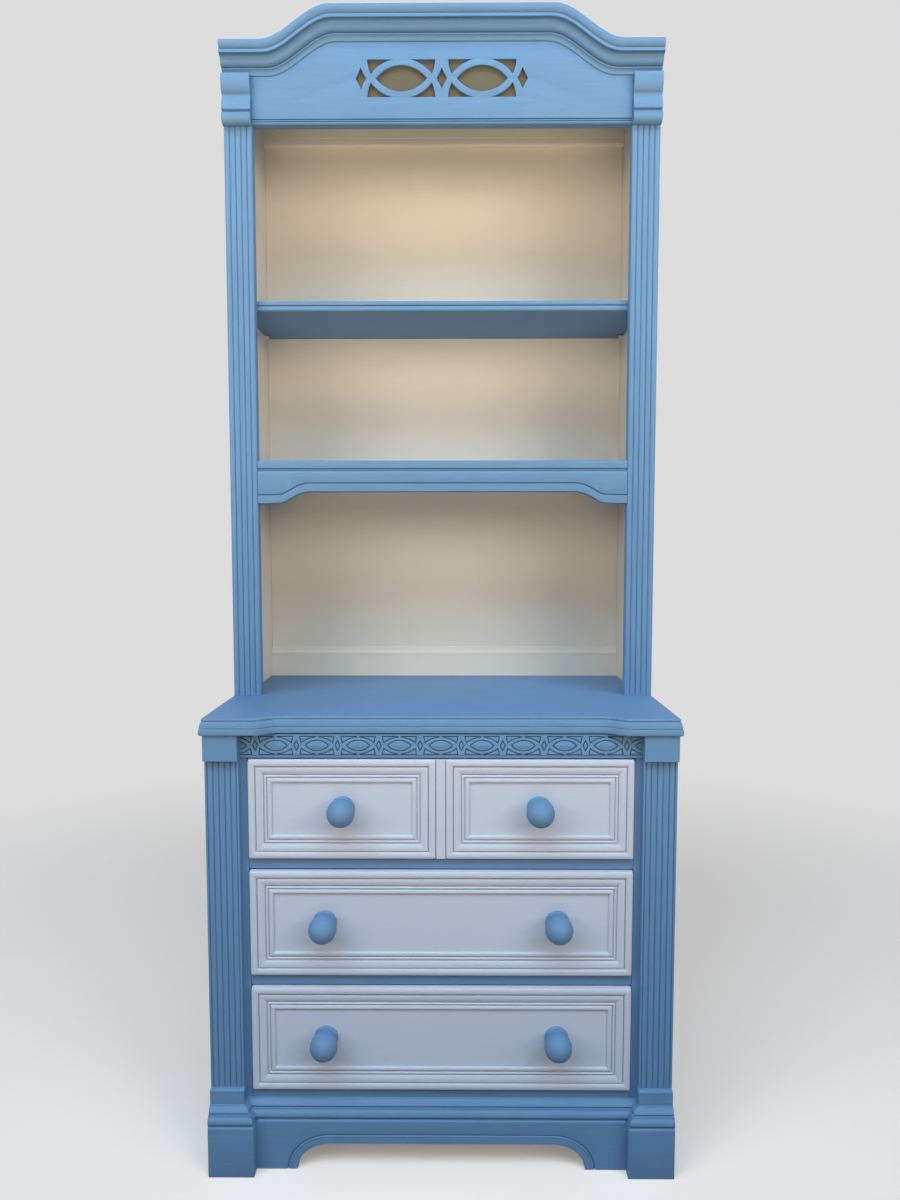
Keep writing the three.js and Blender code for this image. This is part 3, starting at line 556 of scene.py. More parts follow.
# -------------------------------- cornice and capitals
# In both sections a point is (distance before the hutch, height over the lower edge).
def cornice():
    back = HUTCH_FACE - GAP
    section = arcs([
        (1.3, 0, 0.0), (1.7, 0.4, 0.0), (2.2, 2.0, 0.3), (5.4, 8.0, 0.0), (6.2, 8.2, 0.0),
        (6.6, 8.6, 0.0), (6.6, 10.2, 0.0), (4.0, 10.5, 0.0), (4.0, 11.5, 0.0), (6.4, 11.7, -0.41),
        (14.5, 21.4, 0.41), (20.8, 25.4, 0.0), (19.4, 25.8, 0.0), (19.4, 26.7, 0.0),
        (23.6, 26.8, 0.0), (24.3, 27.3, 0.0), (24.3, 31.8, 0.0), (23.9, 32.2, 0.0),
        (20.0, 32.4, 0.0), (19.6, 33.4, 0.0), (20.6, 33.6, -0.4), (25.2, 47.5, 0.0),
    ], 9)
    # the ends are drawn in a little, which rounds their edges
    draws = {CASE - 0.1: 0.15, CASE: 0.6}
    stations = [0.0, 60.0, 120.0, 160.0] + [176.0 + 3.4 * i for i in range(40)]
    stations += [330.0, 360.0, CASE - 0.5] + list(draws)
    stations = [-x for x in reversed(stations) if x] + stations
    rings = []
    for x in stations:
        draw = draws.get(abs(x), 0.0)
        ring = []
        for p, z in section:
            p = max(p - draw, 0.2)
            level = min(max(z, draw), CORNICE_HEIGHT - draw)
            lift = arch(max(abs(x) - CORNICE_LEAN * z / CORNICE_HEIGHT, 0))
            ring.append((x, back - p, CORNICE_BASE + level + lift))
        ring.append((x, back, CORNICE_TOP - draw + arch(max(abs(x) - CORNICE_LEAN, 0))))
        ring.append((x, back, CORNICE_BASE + draw + arch(x)))
        rings.append(ring)
    piece(make("arched_cornice", *loft(rings), smooth=30), "blue", "dresser", "cornice")


cornice()


def capital(side, label):
    back = HUTCH_FACE - GAP
    low, high = CORNICE_BASE - CAPITAL_HEIGHT, CORNICE_BASE - GAP
    section = arcs([(0.8, 0, 0.0), (2.0, 0.2, -0.41), (13.4, 9.0, 0.0), (13.6, 17.4, 0.0)], 8)
    section += flow([
        (13.2, 18.0, 1), (8.0, 18.4, 1), (7.2, 19.0, 1), (7.2, 22.2, 1), (8.0, 22.8, 1),
        (12.0, 23.3, 1), (12.6, 24.6), (12.2, 29.0), (10.8, 34.5), (8.8, 40.0), (7.2, 44.0),
        (6.5, 46.8), (6.6, 48.8), (7.6, 50.8), (9.4, 52.6), (11.2, 55.0), (12.9, 58.4),
        (14.1, 63.4), (14.6, 69.5), (14.4, 76.0), (13.2, high - low, 1),
    ])
    points = [(back - p, low + z) for p, z in section] + [(back, high), (back, low)]
    x0, x1 = sorted((side * STILE_IN, side * CASE))
    block = run_x(f"moulded_capital_{label}", points, x0, x1, soft=0.6, smooth=32)
    piece(block, "blue", "dresser", f"capital_{label}")


for side, label in SIDES:
    capital(side, label)


# -------------------------------- pierced frieze
def fret(a, b, half_height, band, gap, steps=26):
    """Outlines of a strapwork fret about one oval, whose half width is a and half height b: the
    oval, and the piece left between two straps in one corner."""
    radius = (a * a + b * b) / (2 * b)
    offset = radius - b
    outer, inner = radius + band, radius + gap

    def curve(r, side, z0, z1):
        levels = [z0 + (z1 - z0) * i / steps for i in range(steps + 1)]
        return [(math.sqrt(max(r * r - (z - side * offset) ** 2, 0.0)), z) for z in levels]

    def oval(inset=0.0):
        r = radius - inset
        spread = math.acos(offset / r)
        low = []
        for i in range(2 * steps):
            turn = spread * (i / steps - 1)
            low.append((r * math.sin(turn), offset - r * math.cos(turn)))
        return low + [(-x, -z) for x, z in low]

    def corner():
        meet = (outer ** 2 - inner ** 2) / (4 * offset)
        return curve(inner, 1, meet, half_height) + curve(outer, -1, half_height, meet)[:-1]

    return oval, corner


def diamond_of(wide, high, hollow):
    """A diamond with slightly hollow sides."""
    side = [
        (wide * (1 - i / 4) - hollow * math.sin(math.pi * i / 4), high * i / 4) for i in range(4)]
    half = side + [(0, high)] + [(-x, z) for x, z in reversed(side)]
    return half + [(x, -z) for x, z in reversed(half)][1:-1]


def corners_of(outline):
    return [[(sx * x, sz * z) for x, z in outline] for sx in (-1, 1) for sz in (-1, 1)]


def flat_cutout(name, outlines, y0, y1, bevel=0.5):
    """Flat pieces in the X-Z plane, with holes where an outline lies inside another, and their
    edges a little rounded."""
    curve = bpy.data.curves.new(name, "CURVE")
    curve.dimensions = "2D"
    curve.fill_mode = "BOTH"
    for points in outlines:
        spline = curve.splines.new("POLY")
        spline.points.add(len(points) - 1)
        for p, (x, z) in zip(spline.points, points):
            p.co = (x * MM, z * MM, 0, 1)
        spline.use_cyclic_u = True
    curve.extrude = ((y1 - y0) / 2 - bevel) * MM
    curve.bevel_depth = bevel * MM
    curve.bevel_resolution = 1
    curve.offset = -bevel * MM
    rough = link_object(name + "_curve", curve)
    mesh = evaluated_mesh(rough)
    bpy.data.objects.remove(rough)
    # the curve lies flat, so it is stood up at the middle of its depth
    middle = ((y0 + y1) / 2 + SHIFT) * MM
    mesh.transform(Matrix(((1, 0, 0, 0), (0, 0, -1, middle), (0, 1, 0, 0), (0, 0, 0, 1))))
    turn_outwards(mesh, weld=1e-6)
    obj = link_object(name, mesh)
    obj.data.name = name
    for polygon in mesh.polygons:
        polygon.use_smooth = abs(polygon.normal.y) < 0.98
    mesh.set_sharp_from_angle(angle=math.radians(40))
    return obj


def frieze():
    half = STILE_IN - GAP
    low = CORNICE_BASE - 70.0
    top = CORNICE_TOP - 2.0
    # the outline follows the arch, with close stations out to curve_end
    curve_end, step = 309.0, 3.09
    xs = [-half] + [-curve_end + step * i for i in range(41)]
    xs += [curve_end - step * i for i in range(40, -1, -1)] + [half]
    outline = [(x, top + arch(max(abs(x) - CORNICE_LEAN, 0))) for x in reversed(xs)]
    outline = [(half, low)] + outline + [(-half, low)]
    centre = CORNICE_BASE - 3.5
    pitch = 138.8
    oval, corner = fret(a=43.6, b=21.7, half_height=31.0, band=11.1, gap=3.7)
    holes = []
    for x0 in (-pitch / 2, pitch / 2):
        holes += [[(x0 + x, z) for x, z in hole] for hole in [oval()] + corners_of(corner())]
    diamond = diamond_of(wide=9.2, high=17.9, hollow=0.5)
    holes += [[(x0 + x, z) for x, z in diamond] for x0 in (-pitch, 0, pitch)]
    holes = [[(x, centre + z) for x, z in hole] for hole in holes]
    rear = HUTCH_FACE + FRIEZE_THICK
    board = flat_cutout("pierced_frieze", [outline] + holes, HUTCH_FACE, rear)
    piece(board, "blue", "dresser", "frieze_panel")

    # the beaded rail under the panel
    face, front, back, foot = HUTCH_FACE, HUTCH_FACE - 1.0, STILE_BACK, low - GAP - 9.0
    section = [(back, foot), (back, low - GAP), (face + 0.4, low - GAP), (face + 0.1, low - 0.5)]
    section += flow([
        (face + 3.0, low - 0.7, 1), (face + 3.0, low - 2.2, 1), (front + 0.8, low - 2.4, 1),
        (front + 0.1, low - 3.4), (front + 0.8, low - 4.4, 1), (front + 2.8, low - 4.6, 1),
        (front + 2.8, low - 5.6, 1), (front + 0.9, low - 5.8, 1), (front + 0.3, low - 6.6),
        (front + 0.9, low - 7.8, 1), (front + 2.2, foot, 1),
    ], 4)
    piece(run_x("frieze_bead", section, -half, half, soft=0.2), "blue", "dresser", "frieze_rail")


frieze()


# -------------------------------- shelves and apron
def loose_shelf():
    top, low = LOOSE_SHELF_TOP, LOOSE_SHELF_TOP - SHELF_THICK
    front, back = STILE_BACK + 0.8, BACK_FACE - GAP
    half = HUTCH_IN - 0.8
    section = [(back - 0.8, low), (back - 0.8, top)] + flow([
        (front + 3.0, top, 1), (front + 1.2, top - 0.5), (front + 0.5, top - 1.9),
        (front + 0.5, top - 4.6), (front + 1.2, top - 6.9, 1), (front + 4.2, top - 7.4, 1),
        (front + 4.2, top - 8.8, 1), (front + 1.2, top - 9.2, 1), (front + 0.7, top - 10.2),
        (front + 0.6, top - 12.5), (front + 0.9, top - 15.6), (front + 2.8, low, 1),
    ])
    section.reverse()
    shelf = run_x("loose_shelf", section, -half, half, soft=0.4)

    # notches that drop over the shelf pins
    faces = [(0, 1, 3, 2), (4, 6, 7, 5), (0, 4, 5, 1), (2, 3, 7, 6), (0, 2, 6, 4), (1, 5, 7, 3)]
    notches = []
    for side, _ in SIDES:
        for y in (front + 36, back - 32):
            xs = sorted((side * (half - 15.0), side * (half + 2.0)))
            ys, zs = (y - 3.6, y + 3.6), (top - 19.5, top - 12.0)
            notches.append(make("notch", [(x, y, z) for x in xs for y in ys for z in zs], faces))
    for notch in notches:
        cut = shelf.modifiers.new("notch", "BOOLEAN")
        cut.operation = "DIFFERENCE"
        cut.solver = "EXACT"
        cut.object = notch
    mesh = evaluated_mesh(shelf)
    shelf.modifiers.clear()
    shelf.data = mesh
    for notch in notches:
        bpy.data.objects.remove(notch)
    shade_smooth(mesh, 30)
    piece(shelf, "blue", "dresser", "upper_shelf")


def fixed_shelf():
    back = BACK_FACE - GAP
    narrow, wide = STILE_IN - GAP, HUTCH_IN - GAP
    # (inset, height) up the front edge
    edge = flow([
        (4.2, 0.0, 1), (4.2, 3.0, 1), (1.4, 3.5), (0.5, 4.4), (0.2, 6.0), (0.1, 10.0),
        (0.2, 14.6), (0.8, 16.4), (2.6, SHELF_THICK, 1),
    ])
    rings = []
    for inset, z in edge:
        # the shelf is notched round the stiles
        outline = [
            (-narrow, HUTCH_FACE + inset), (narrow, HUTCH_FACE + inset),
            (narrow, STILE_BACK + GAP), (wide, STILE_BACK + GAP), (wide, back),
            (-wide, back), (-wide, STILE_BACK + GAP), (-narrow, STILE_BACK + GAP)]
        rings.append([(x, y, FIXED_SHELF_TOP - SHELF_THICK + z) for x, y in outline])
    piece(make("fixed_shelf", *loft(rings), smooth=30), "blue", "dresser", "lower_shelf")


loose_shelf()
fixed_shelf()


def apron():
    half, face = STILE_IN - GAP, HUTCH_FACE
    top = FIXED_SHELF_TOP - SHELF_THICK - GAP
    # the lower edge is at low near the ends, and rises inwards between end and start
    low, rise, start, length = top - 57.2, 19.6, 236.0, 47.0
    end = start + length
    xs = [100.0, 200.0, start - 6.0] + [start + length * i / 28 for i in range(29)]
    xs += [end + 5.0, 310.0, half]
    xs = [-x for x in reversed(xs)] + [0.0] + xs

    def lower(x):
        t = (end - abs(x)) / length
        t = min((t + math.hypot(t, 0.13)) / 2, 1.0)
        return low + rise * (math.sin(math.pi / 2 * t) - 0.065 * (1 - t))

    # (height over the lower edge, y) up to the groove, then (height, y) up to the top
    levels = [
        (0.0, STILE_BACK), (0.0, face + 3.0), (0.3, face + 1.6), (1.0, face + 0.7),
        (2.2, face + 0.3), (13.8, face + 0.3), (14.4, face + 0.7), (14.7, face + 2.4),
        (15.2, face + 3.2), (15.8, face + 3.2), (16.2, face + 2.2), (16.6, face + 0.4),
        (17.4, face),
    ]
    crown = [
        (top - 7.0, face), (top - 4.6, face + 0.2), (top - 3.0, face + 0.7),
        (top - 1.6, face + 1.6), (top - 0.5, face + 2.9), (top, face + 4.6), (top, STILE_BACK),
    ]
    rings = [[(x, y, lower(x) + up) for x in xs] for up, y in levels]
    rings += [[(x, y, z) for x in xs] for z, y in crown]
    count = len(xs)
    verts = [v for ring in rings for v in ring]
    faces = []
    for r in range(len(rings)):
        a, b = r * count, ((r + 1) % len(rings)) * count
        for i in range(count - 1):
            faces.append((a + i, a + i + 1, b + i + 1, b + i))
    faces.append(tuple(r * count for r in range(len(rings))))
    faces.append(tuple(r * count + count - 1 for r in reversed(range(len(rings)))))
    piece(make("curved_apron", verts, faces, smooth=30), "blue", "dresser", "shelf_apron")


apron()


# -------------------------------- rails at the hutch back
def back_rails():
    back = BACK_FACE - GAP
    half = HUTCH_IN - GAP
    base = WORKTOP + GAP
    face = back - 6.0
    foot = [
        (back, base), (face, base), (face, base + 43.0), (back - 5.0, base + 43.5),
        (back - 5.0, base + 44.6)]
    foot += flow([
        (face, base + 45.2, 1), (back - 5.4, base + 48.5), (back - 3.2, base + 52.5),
        (back - 2.2, base + 57.0), (back - 1.6, base + 59.4, 1), (back, base + 59.8, 1),
    ])
    rail = run_x("back_foot_rail", foot, -half, half, soft=0.1)
    piece(rail, "cream", "dresser", "hutch_back_rail")
    top = HUTCH_CEILING - GAP
    face = back - 12.0
    hung = [
        (back, top), (face, top), (face, top - 31.0), (face + 0.8, top - 31.6),
        (face + 0.8, top - 32.6), (face + 0.2, top - 33.0)]
    hung += flow([
        (face + 0.2, top - 40.0, 1), (face + 0.8, top - 43.6), (face + 3.4, top - 46.0, 1),
    ])
    hung.append((back, top - 46.0))
    rail = run_x("back_top_rail", hung, -half, half, soft=0.1)
    piece(rail, "cream", "dresser", "hutch_hanging_rail")


back_rails()


# -------------------------------- carved band
def joined(name, objects):
    """One object from several. Their meshes keep their shading."""
    bm = bmesh.new()
    for obj in objects:
        bm.from_mesh(obj.data)
    mesh = bpy.data.meshes.new(name)
    bm.to_mesh(mesh)
    bm.free()
    for obj in objects:
        bpy.data.objects.remove(obj)
    return link_object(name, mesh)


def clip(outline, limit):
    """The part of an outline whose |x| is under the limit."""
    for side, _ in SIDES:
        out = []
        for i, q in enumerate(outline):
            p = outline[i - 1]
            p_in, q_in = p[0] * side <= limit, q[0] * side <= limit
            if p_in != q_in:
                t = (side * limit - p[0]) / (q[0] - p[0])
                out.append((side * limit, p[1] + (q[1] - p[1]) * t))
            if q_in:
                out.append(q)
        outline = out
    return outline


def carved_band():
    """A strap with holes, an island in each hole so that only a groove shows, a slab behind
    both, and a bead along the lower edge."""
    half = CASE - CAP_WIDTH - GAP
    base, top, middle, pitch = 682.0, CASE_TOP - GAP, 702.3, 65.83
    face, ground, plate_low, groove = -5.0, -0.9, 686.9, 1.4
    limit = half - 1.4
    half_height = 15.4
    oval = fret(a=19.5, b=9.2, half_height=half_height, band=4.0, gap=1.4, steps=12)[0]

    def corner(inset):
        """The field left between two straps. Its lower side runs from tip to end along an arc,
        whose centre lies drop under the middle."""
        radius, drop = 38.1 + inset, 25.1
        tip, end, high = 25.5 - 0.65 * inset, 2.0 + 2.6 * inset, half_height - inset
        xs = [tip + (end - tip) * i / 12 for i in range(13)]
        bend = [(x, math.sqrt(radius ** 2 - x * x) - drop) for x in xs]
        return bend + ([] if inset else [(end, high)]) + [(28.2 - 1.15 * inset, high)]

    def placed(outline, x0):
        return clip([(x0 + x, middle + z) for x, z in outline], limit)

    holes, islands = [], []
    for k in range(-5, 6):
        for into, inset in ((holes, 0.0), (islands, groove)):
            shapes = [oval(inset)] + corners_of(corner(inset))
            into += [placed(shape, k * pitch) for shape in shapes]
        if k < 5:
            between = (k + 0.5) * pitch
            holes.append(placed(diamond_of(wide=4.9, high=9.6, hollow=0.2), between))
            islands.append(placed(diamond_of(wide=3.3, high=6.5, hollow=0.2), between))

    def wide(outline):
        """Whether enough of an outline is left at the end of the band."""
        xs = [x for x, z in outline]
        return len(outline) > 3 and max(xs) - min(xs) > 2.5

    rim = [(-half, plate_low), (half, plate_low), (half, top - 1.5), (-half, top - 1.5)]
    holes = [h for h in holes if wide(h)]
    islands = [i for i in islands if wide(i)]
    strap = flat_cutout("strap", [rim] + holes, face, ground + 0.1, bevel=0.3)
    island = flat_cutout("island", islands, face + 0.1, ground + 0.1, bevel=0.3)
    slab = run_x(
        "slab", [(-GAP, base + 0.4), (ground, base + 0.4), (ground, top - 0.2), (-GAP, top - 0.2)],
        -half + 0.2, half - 0.2, soft=0.1)
    bead = run_x("bead", [(-GAP, plate_low - 0.1), (-GAP, base)] + flow([
        (face + 1.6, base, 1), (face + 0.4, base + 0.6), (face - 0.1, base + 2.2),
        (face + 0.2, base + 3.8), (face + 0.8, base + 4.1, 1), (face + 2.2, base + 4.3, 1),
        (face + 2.2, plate_low - 0.1, 1),
    ]), -half, half, soft=0.2)
    band = joined("carved_strapwork", [slab, strap, island, bead])
    piece(band, "blue", "dresser", "carved_band")


carved_band()


# -------------------------------- base
def base_moulding():
    # the moulding breaks forward round the feet, from inner outwards
    inner = CASE - 56.0
    front = -19.0
    # (reach, height over the foot blocks)
    profile = flow([
        (15.3, GAP, 1), (15.3, 0.9, 1), (13.8, 1.4, 1), (13.8, 2.1, 1), (15.6, 2.6), (16.9, 5.0),
        (16.7, 8.0), (15.5, 11.0), (13.2, 13.6), (12.4, 15.0), (12.3, 16.4, 1), (7.2, 16.9, 1),
        (7.2, 18.2, 1), (9.3, 18.7, 1), (8.6, 20.6), (6.2, 23.3), (3.4, 25.6), (2.2, 27.2),
        (1.8, 28.4), (1.2, 29.0, 1),
    ])
    rings = []
    for out, z in profile:
        face = front - out
        right = [
            (inner - out, -out), (inner - out, face + 0.5), (inner - out + 0.5, face),
            (CASE - 0.5, face), (CASE, face + 0.5), (CASE, -GAP)]
        rings.append([(x, y, FOOT_TOP + z) for x, y in mirrored(right)])
    moulding = make("stepped_base_moulding", *loft(rings), smooth=28)
    piece(moulding, "blue", "dresser", "base_moulding")


base_moulding()


def foot_block(side, label):
    x0, x1 = CASE - FOOT_WIDTH, CASE
    front, back = -36.0, -GAP
    radius = 1.0

    def outline(draw):
        """The block seen from above, its front and its inner side drawn in."""
        left, face, r = x0 + draw, front + draw, radius
        return [
            (left, back), (x1, back), (x1, face + r), (x1 - r * 0.3, face + r * 0.3),
            (x1 - r, face), (left + r, face), (left + r * 0.3, face + r * 0.3), (left, face + r)]

    # (draw, height)
    levels = [(0.8, 0.0), (0.2, 0.3), (0.0, 1.0)] + flow([
        (0.0, 80.2, 1), (0.2, 81.6), (0.9, 83.1), (2.1, 84.1), (3.8, FOOT_TOP, 1)], 3)
    rings = [[(side * x, y, z) for x, y in outline(draw)] for draw, z in levels]
    block = make(f"front_foot_{label}", *loft(rings), smooth=30)
    piece(block, "blue", "dresser", f"foot_block_{label}")


for side, label in SIDES:
    foot_block(side, label)


def skirt():
    half, low, top = CASE - FOOT_WIDTH - GAP, SKIRT_LOW, FOOT_TOP
    front, back = -17.0, -GAP
    # the opening: its half width at the floor, the width of its curved end, and its top
    arch_half, curve, arch_top = half - 66.8, 53.5, 43.5

    def ring(out, y):
        """The arched edge moved out by a distance, from the left foot to the right one."""
        points = []
        for i in range(33):
            a = math.pi / 2 * i / 32
            nx, nz = math.cos(a) / curve, math.sin(a) / (arch_top - low)
            n = math.hypot(nx, nz)
            x = arch_half - curve + curve * math.cos(a) + out * nx / n
            points.append((x, y, low + (arch_top - low) * math.sin(a) + out * nz / n))
        return [(-x, y, z) for x, y, z in points] + [(x, y, z) for x, y, z in reversed(points)]

    # (distance from the arched edge, depth behind the face): band, bead, groove
    edge = [
        (0.0, 16.8), (0.0, 1.8), (0.4, 0.6), (1.4, 0.0), (10.6, 0.0), (11.0, 0.6), (11.3, 0.6),
        (11.7, 0.0), (12.5, -0.4), (13.4, -0.4), (14.1, 0.0), (14.5, 0.8), (14.9, 2.2),
        (16.4, 2.2), (16.8, 0.8), (17.2, 0.1), (17.9, 0.0),
    ]
    rings = [ring(out, front + depth) for out, depth in edge]
    count = len(rings[0])
    verts = [v for r in rings for v in r]
    faces = []
    for r in range(len(rings) - 1):
        for i in range(count - 1):
            p = r * count + i
            faces.append((p, p + 1, p + count + 1, p + count))

    def add(points):
        start = len(verts)
        verts.extend(points)
        return list(range(start, len(verts)))

    # the field over the arch, the rolled top, the back, the two ends and the two feet
    roll = flow([
        (front, top - 4.4, 1), (front + 0.2, top - 3.0), (front + 0.9, top - 1.5),
        (front + 2.1, top - 0.5), (front + 3.8, top, 1)], 3)
    roll += [(back, top), (back, low)]
    left = add([(-half, y, z) for y, z in roll])
    right = add([(half, y, z) for y, z in roll])
    left_toe, right_toe = add([(-half, front, low), (half, front, low)])
    last = (len(rings) - 1) * count
    starts = [r * count for r in range(len(rings))]
    ends = [r * count + count - 1 for r in range(len(rings))]
    faces.append(tuple(
        list(range(last, last + count)) + [right_toe, right[0], left[0], left_toe]))
    for i in range(len(roll) - 2):
        faces.append((left[i], left[i + 1], right[i + 1], right[i]))
    faces.append(tuple(list(range(count)) + [right[-1], right[-2], left[-2], left[-1]]))
    faces.append(tuple([left_toe] + left))
    faces.append(tuple([right_toe] + right))
    faces.append(tuple([left[-1]] + starts + [left_toe]))
    faces.append(tuple([right[-1]] + ends + [right_toe]))
    piece(make("arched_skirt", verts, faces, smooth=30), "blue", "dresser", "front_skirt")


skirt()


# -------------------------------- drawers
# the height of the floor under a drawer, the height of its front, and its knobs' distance from
# the middle
DRAWERS = {
    "bottom": (128.9, 173.2, 188.0),
    "middle": (322.9, 173.2, 188.0),
    "top": (516.9, 162.1, 157.3),
}
PANEL_FACE = -2.6
FRONT_GAP = 1.0  # under a drawer's front
STRIP_HALF = 8.2  # half the width of the centre strip in the top drawer
KNOB_LIFT = 1.5  # over the middle of a drawer's front
BALL_RADIUS = 22.25
KNOB_REACH = 51.0
WAIST_RADIUS = 12.0


def loop(x0, x1, z0, z1, inset, y, radius):
    """A rectangle with rounded corners, drawn in by inset."""
    x0, x1, z0, z1 = x0 + inset, x1 - inset, z0 + inset, z1 - inset
    r = max(radius - inset, 0.25)
    corners = (
        (x1 - r, z0 + r, -90), (x1 - r, z1 - r, 0), (x0 + r, z1 - r, 90), (x0 + r, z0 + r, 180))
    points = []
    for cx, cz, start in corners:
        for i in range(7):
            a = math.radians(start + 90 * i / 6)
            points.append((cx + r * math.cos(a), y, cz + r * math.sin(a)))
    return points


def knob_profile():
    """(radius, y) from the screw hole over the base and the collar to the ball."""
    centre = KNOB_REACH - BALL_RADIUS
    waist_y = math.sqrt(BALL_RADIUS ** 2 - WAIST_RADIUS ** 2) - centre
    profile = [(0.5, -16.0), (4.5, -16.0), (4.5, -13.5), (2.0, -13.5), (2.0, -0.2)] + flow([
        (18.8, -0.2, 1), (19.35, -1.0), (19.3, -3.0), (18.6, -4.4), (16.4, -5.6),
        (13.6, -6.3, 1), (13.2, -6.9, 1), (13.2, -8.4, 1), (12.4, -8.9, 1), (11.6, -9.2, 1),
        (11.6, -9.9, 1), (WAIST_RADIUS, waist_y, 1),
    ], 4)
    neck = math.asin(WAIST_RADIUS / BALL_RADIUS)
    for i in range(1, 23):
        turn = neck + (math.pi - neck) * i / 23
        profile.append((BALL_RADIUS * math.sin(turn), -centre + BALL_RADIUS * math.cos(turn)))
    profile.append((0.6, -KNOB_REACH))
    return profile


def drawer(key, floor, height, knob_x):
    body = f"{key}_drawer"
    base = floor + FRONT_GAP
    top = base + height
    # (inset from the outer edge, height over the panel)
    section = flow([
        (0.0, 0.2, 1), (0.0, 3.4, 1), (0.8, 5.0), (2.8, 6.0), (6.0, 6.4), (9.0, 6.0),
        (11.0, 4.8, 1), (11.6, 2.0, 1), (12.5, 2.0, 1), (13.0, 4.6, 1), (17.0, 4.9), (21.0, 4.1),
        (24.0, 2.8, 1), (24.5, 0.7, 1), (25.5, 0.7, 1), (26.0, 2.4), (27.6, 3.3), (29.2, 2.5),
        (29.6, 0.5, 1), (30.4, 0.5, 1), (30.9, 2.0, 1), (32.4, 3.0), (34.4, 3.5), (36.4, 3.2),
        (37.9, 2.0, 1), (38.2, 0.2, 1),
    ])
    frames = {f"{body}_moulding": (-DRAWER, DRAWER)}
    if key == "top":
        frames = {
            f"{body}_moulding_left": (-DRAWER, -STRIP_HALF),
            f"{body}_moulding_right": (STRIP_HALF, DRAWER),
        }
    for node, (x0, x1) in frames.items():
        rings = [
            loop(x0, x1, base, top, inset, PANEL_FACE - out, radius=3.2) for inset, out in section]
        moulding = make(f"mitred_{node}", *loft(rings, looped=True), smooth=24)
        piece(moulding, "white", body, node)

    knob_z = (base + top) / 2 + KNOB_LIFT
    for side, label in SIDES:
        centre = (side * knob_x, PANEL_FACE, knob_z)
        knob = lathe(f"turned_{body}_knob_{label}", knob_profile(), centre)
        piece(knob, "blue", body, f"{body}_knob_{label}")


for key, sizes in DRAWERS.items():
    drawer(key, *sizes)


# -------------------------------- carried-over boards
def soften(obj, width):
    """Rounds the edges of a solid from the part, without a change to its own mesh."""
    weld = obj.modifiers.new("weld", "WELD")
    weld.merge_threshold = 1e-5
    bevel = obj.modifiers.new("bevel", "BEVEL")
    bevel.width = width * MM
    bevel.segments = 2
    bevel.limit_method = "ANGLE"
    bevel.angle_limit = math.radians(35)
    bevel.harden_normals = True
    bevel.use_clamp_overlap = True


# the name of a board: its material and the width of its rounded edges
BOARDS = {
    "bottom_rail": (BLUE, 1.0),
    "lower_drawer_rail": (BLUE, 1.0),
    "upper_drawer_rail": (BLUE, 1.0),
    "top_rail": (BLUE, 1.0),
    "hutch_back": (BACK_BOARD, 0.6),
    "hutch_roof": (ROOF_BOARD, 0.6),
    # the frieze backing gets the painted-shade tan, not its cream paint
    "frieze_backing": (BACKING_PAINTED_SHADE, 0.6),
    "case_back": (PINE_X, 0.5),
    "case_bottom": (PINE_X, 0.5),
    "lower_dust_board": (PINE_X, 0.5),
    "upper_dust_board": (PINE_X, 0.5),
}
for _, label in SIDES:
    BOARDS[f"case_side_{label}"] = (BLUE_UP, 1.0)
    BOARDS[f"case_stile_{label}"] = (BLUE_UP, 1.0)
    BOARDS[f"cap_block_{label}"] = (BLUE, 1.0)
    BOARDS[f"plinth_block_{label}"] = (BLUE, 1.0)
    BOARDS[f"hutch_side_{label}"] = (SIDE_BOARD, 0.6)
for key in DRAWERS:
    # drawer fronts: off-white with painted bluish shade
    BOARDS[f"{key}_drawer_front"] = (WHITE_PAINTED_SKY_SHADE, 0.8)
    BOARDS[f"{key}_drawer_box"] = (PINE_Y, 0.8)
    BOARDS[f"{key}_drawer_bottom"] = (PINE_X, 0.3)
for name, (material, width) in BOARDS.items():
    dress(frame["nodes"][name], material)
    soften(frame["nodes"][name], width)


# -------------------------------- stage and light
FLOOR_HALF = 6  # metres
FADE = (0.7, 2.6)  # metres from the middle, where the floor begins to fade and where it is gone
FLOOR_SEEN = (rgb(246, 228, 216), rgb(243, 225, 213))
FLOOR_LIT = rgb(120, 120, 120)
FLOOR_GLOW = 0.2
BACKDROP = (0.72, 0.72, 0.725, 1)
AMBIENT_COLOUR = (0.93, 0.97, 1.0, 1)
AMBIENT = 0.15


def seen_factor(tree):
    """1 for the rays that show the background: camera, glossy and transmission rays."""
    path = tree.nodes.new("ShaderNodeLightPath")
    total = path.outputs["Is Camera Ray"]
    for kind in ("Is Glossy Ray", "Is Transmission Ray"):
        node = tree.nodes.new("ShaderNodeMath")
        node.operation = "ADD"
        node.use_clamp = True
        tree.links.new(total, node.inputs[0])
        tree.links.new(path.outputs[kind], node.inputs[1])
        total = node.outputs[0]
    return total


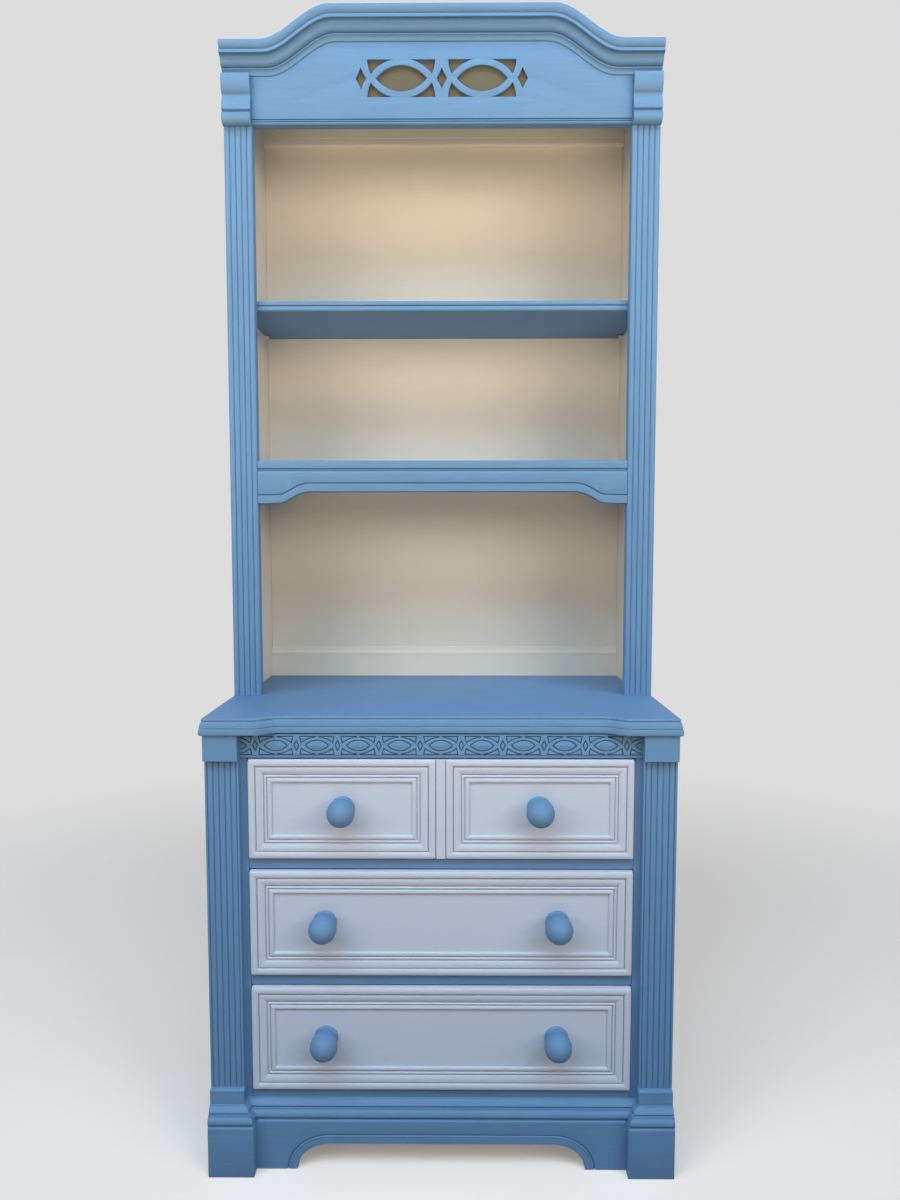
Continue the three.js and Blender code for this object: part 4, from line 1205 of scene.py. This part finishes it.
def floor_material():
    """A pale floor that fades out into the background, and throws little light back."""
    n = Nodes("floor_pale")
    where = n.add("ShaderNodeTexCoord").outputs["Object"]
    seen = seen_factor(n.tree)
    pale = n.mix(n.noise(where, 40, 3), *FLOOR_SEEN)
    n.link(n.mix(seen, FLOOR_LIT, pale), n.shader.inputs["Base Color"])
    n.put(n.shader, Roughness=1.0, Specular_IOR_Level=0.0, Emission_Color=(1, 1, 1, 1))
    n.link(n.scale_to(seen, 0.0, FLOOR_GLOW), n.shader.inputs["Emission Strength"])
    away = n.add("ShaderNodeVectorMath", operation="LENGTH")
    n.link(where, away.inputs[0])
    fade = n.add(
        "ShaderNodeMapRange", interpolation_type="SMOOTHSTEP", From_Min=FADE[0], From_Max=FADE[1])
    n.link(away.outputs["Value"], fade.inputs["Value"])
    clear = n.add("ShaderNodeBsdfTransparent")
    blend = n.add("ShaderNodeMixShader")
    n.link(fade.outputs[0], blend.inputs[0])
    n.link(n.shader.outputs[0], blend.inputs[1])
    n.link(clear.outputs[0], blend.inputs[2])
    n.link(blend.outputs[0], n.output.inputs[0])
    return n.material


def stage():
    far = FLOOR_HALF
    corners = [(-far, -far, 0), (far, -far, 0), (far, far, 0), (-far, far, 0)]
    mesh = bpy.data.meshes.new("floor")
    mesh.from_pydata(corners, [], [(0, 1, 2, 3)])
    floor = link_object("floor", mesh)
    dress(floor, floor_material())

    scene_world = bpy.data.worlds.new("studio")
    bpy.context.scene.world = scene_world
    scene_world.use_nodes = True
    tree = scene_world.node_tree
    tree.nodes.clear()
    out = tree.nodes.new("ShaderNodeOutputWorld")
    mix = tree.nodes.new("ShaderNodeMixShader")
    shown = tree.nodes.new("ShaderNodeBackground")
    lit = tree.nodes.new("ShaderNodeBackground")
    shown.inputs[0].default_value = BACKDROP
    lit.inputs[0].default_value = AMBIENT_COLOUR
    lit.inputs[1].default_value = AMBIENT
    tree.links.new(seen_factor(tree), mix.inputs[0])
    tree.links.new(lit.outputs[0], mix.inputs[1])
    tree.links.new(shown.outputs[0], mix.inputs[2])
    tree.links.new(mix.outputs[0], out.inputs[0])


def lamp(name, place, aim, size, power, colour, spread=180):
    """A rectangular lamp: place, aim and size in metres, power in watts, spread in degrees."""
    data = bpy.data.lights.new(name, "AREA")
    data.shape = "RECTANGLE"
    data.size, data.size_y = size
    data.energy = power
    data.color = colour
    data.spread = math.radians(spread)
    obj = link_object(name, data)
    obj.location = place
    obj.rotation_euler = (Vector(aim) - Vector(place)).to_track_quat("-Z", "Y").to_euler()


stage()
FILL_POWERS = {"left": 8.4, "right": 10.3}
lamp("key", place=(-0.3, -2.75, 4.85), aim=(0, 0, 1.2), size=(7.0, 2.2),
     power=255, colour=(0.595, 0.84, 1.06))
for side, label in SIDES:
    lamp(f"fill_{label}", place=(side * 1.9, -1.95, 1.75), aim=(0, 0, 1.5), size=(1.8, 0.9),
         power=FILL_POWERS[label], colour=(1.0, 0.9, 0.74), spread=95)
lamp("bounce", place=(0.0, -1.7, 0.15), aim=(0, 0, 1.7), size=(3.2, 1.0),
     power=7.0, colour=(1.0, 0.8, 0.48), spread=80)
lamp("crown", place=(0.0, -1.5, 1.1), aim=(0, 0, 1.8), size=(2.4, 0.6),
     power=1.5, colour=(1.0, 0.86, 0.56), spread=56)
bpy.context.scene.view_settings.view_transform = "Standard"
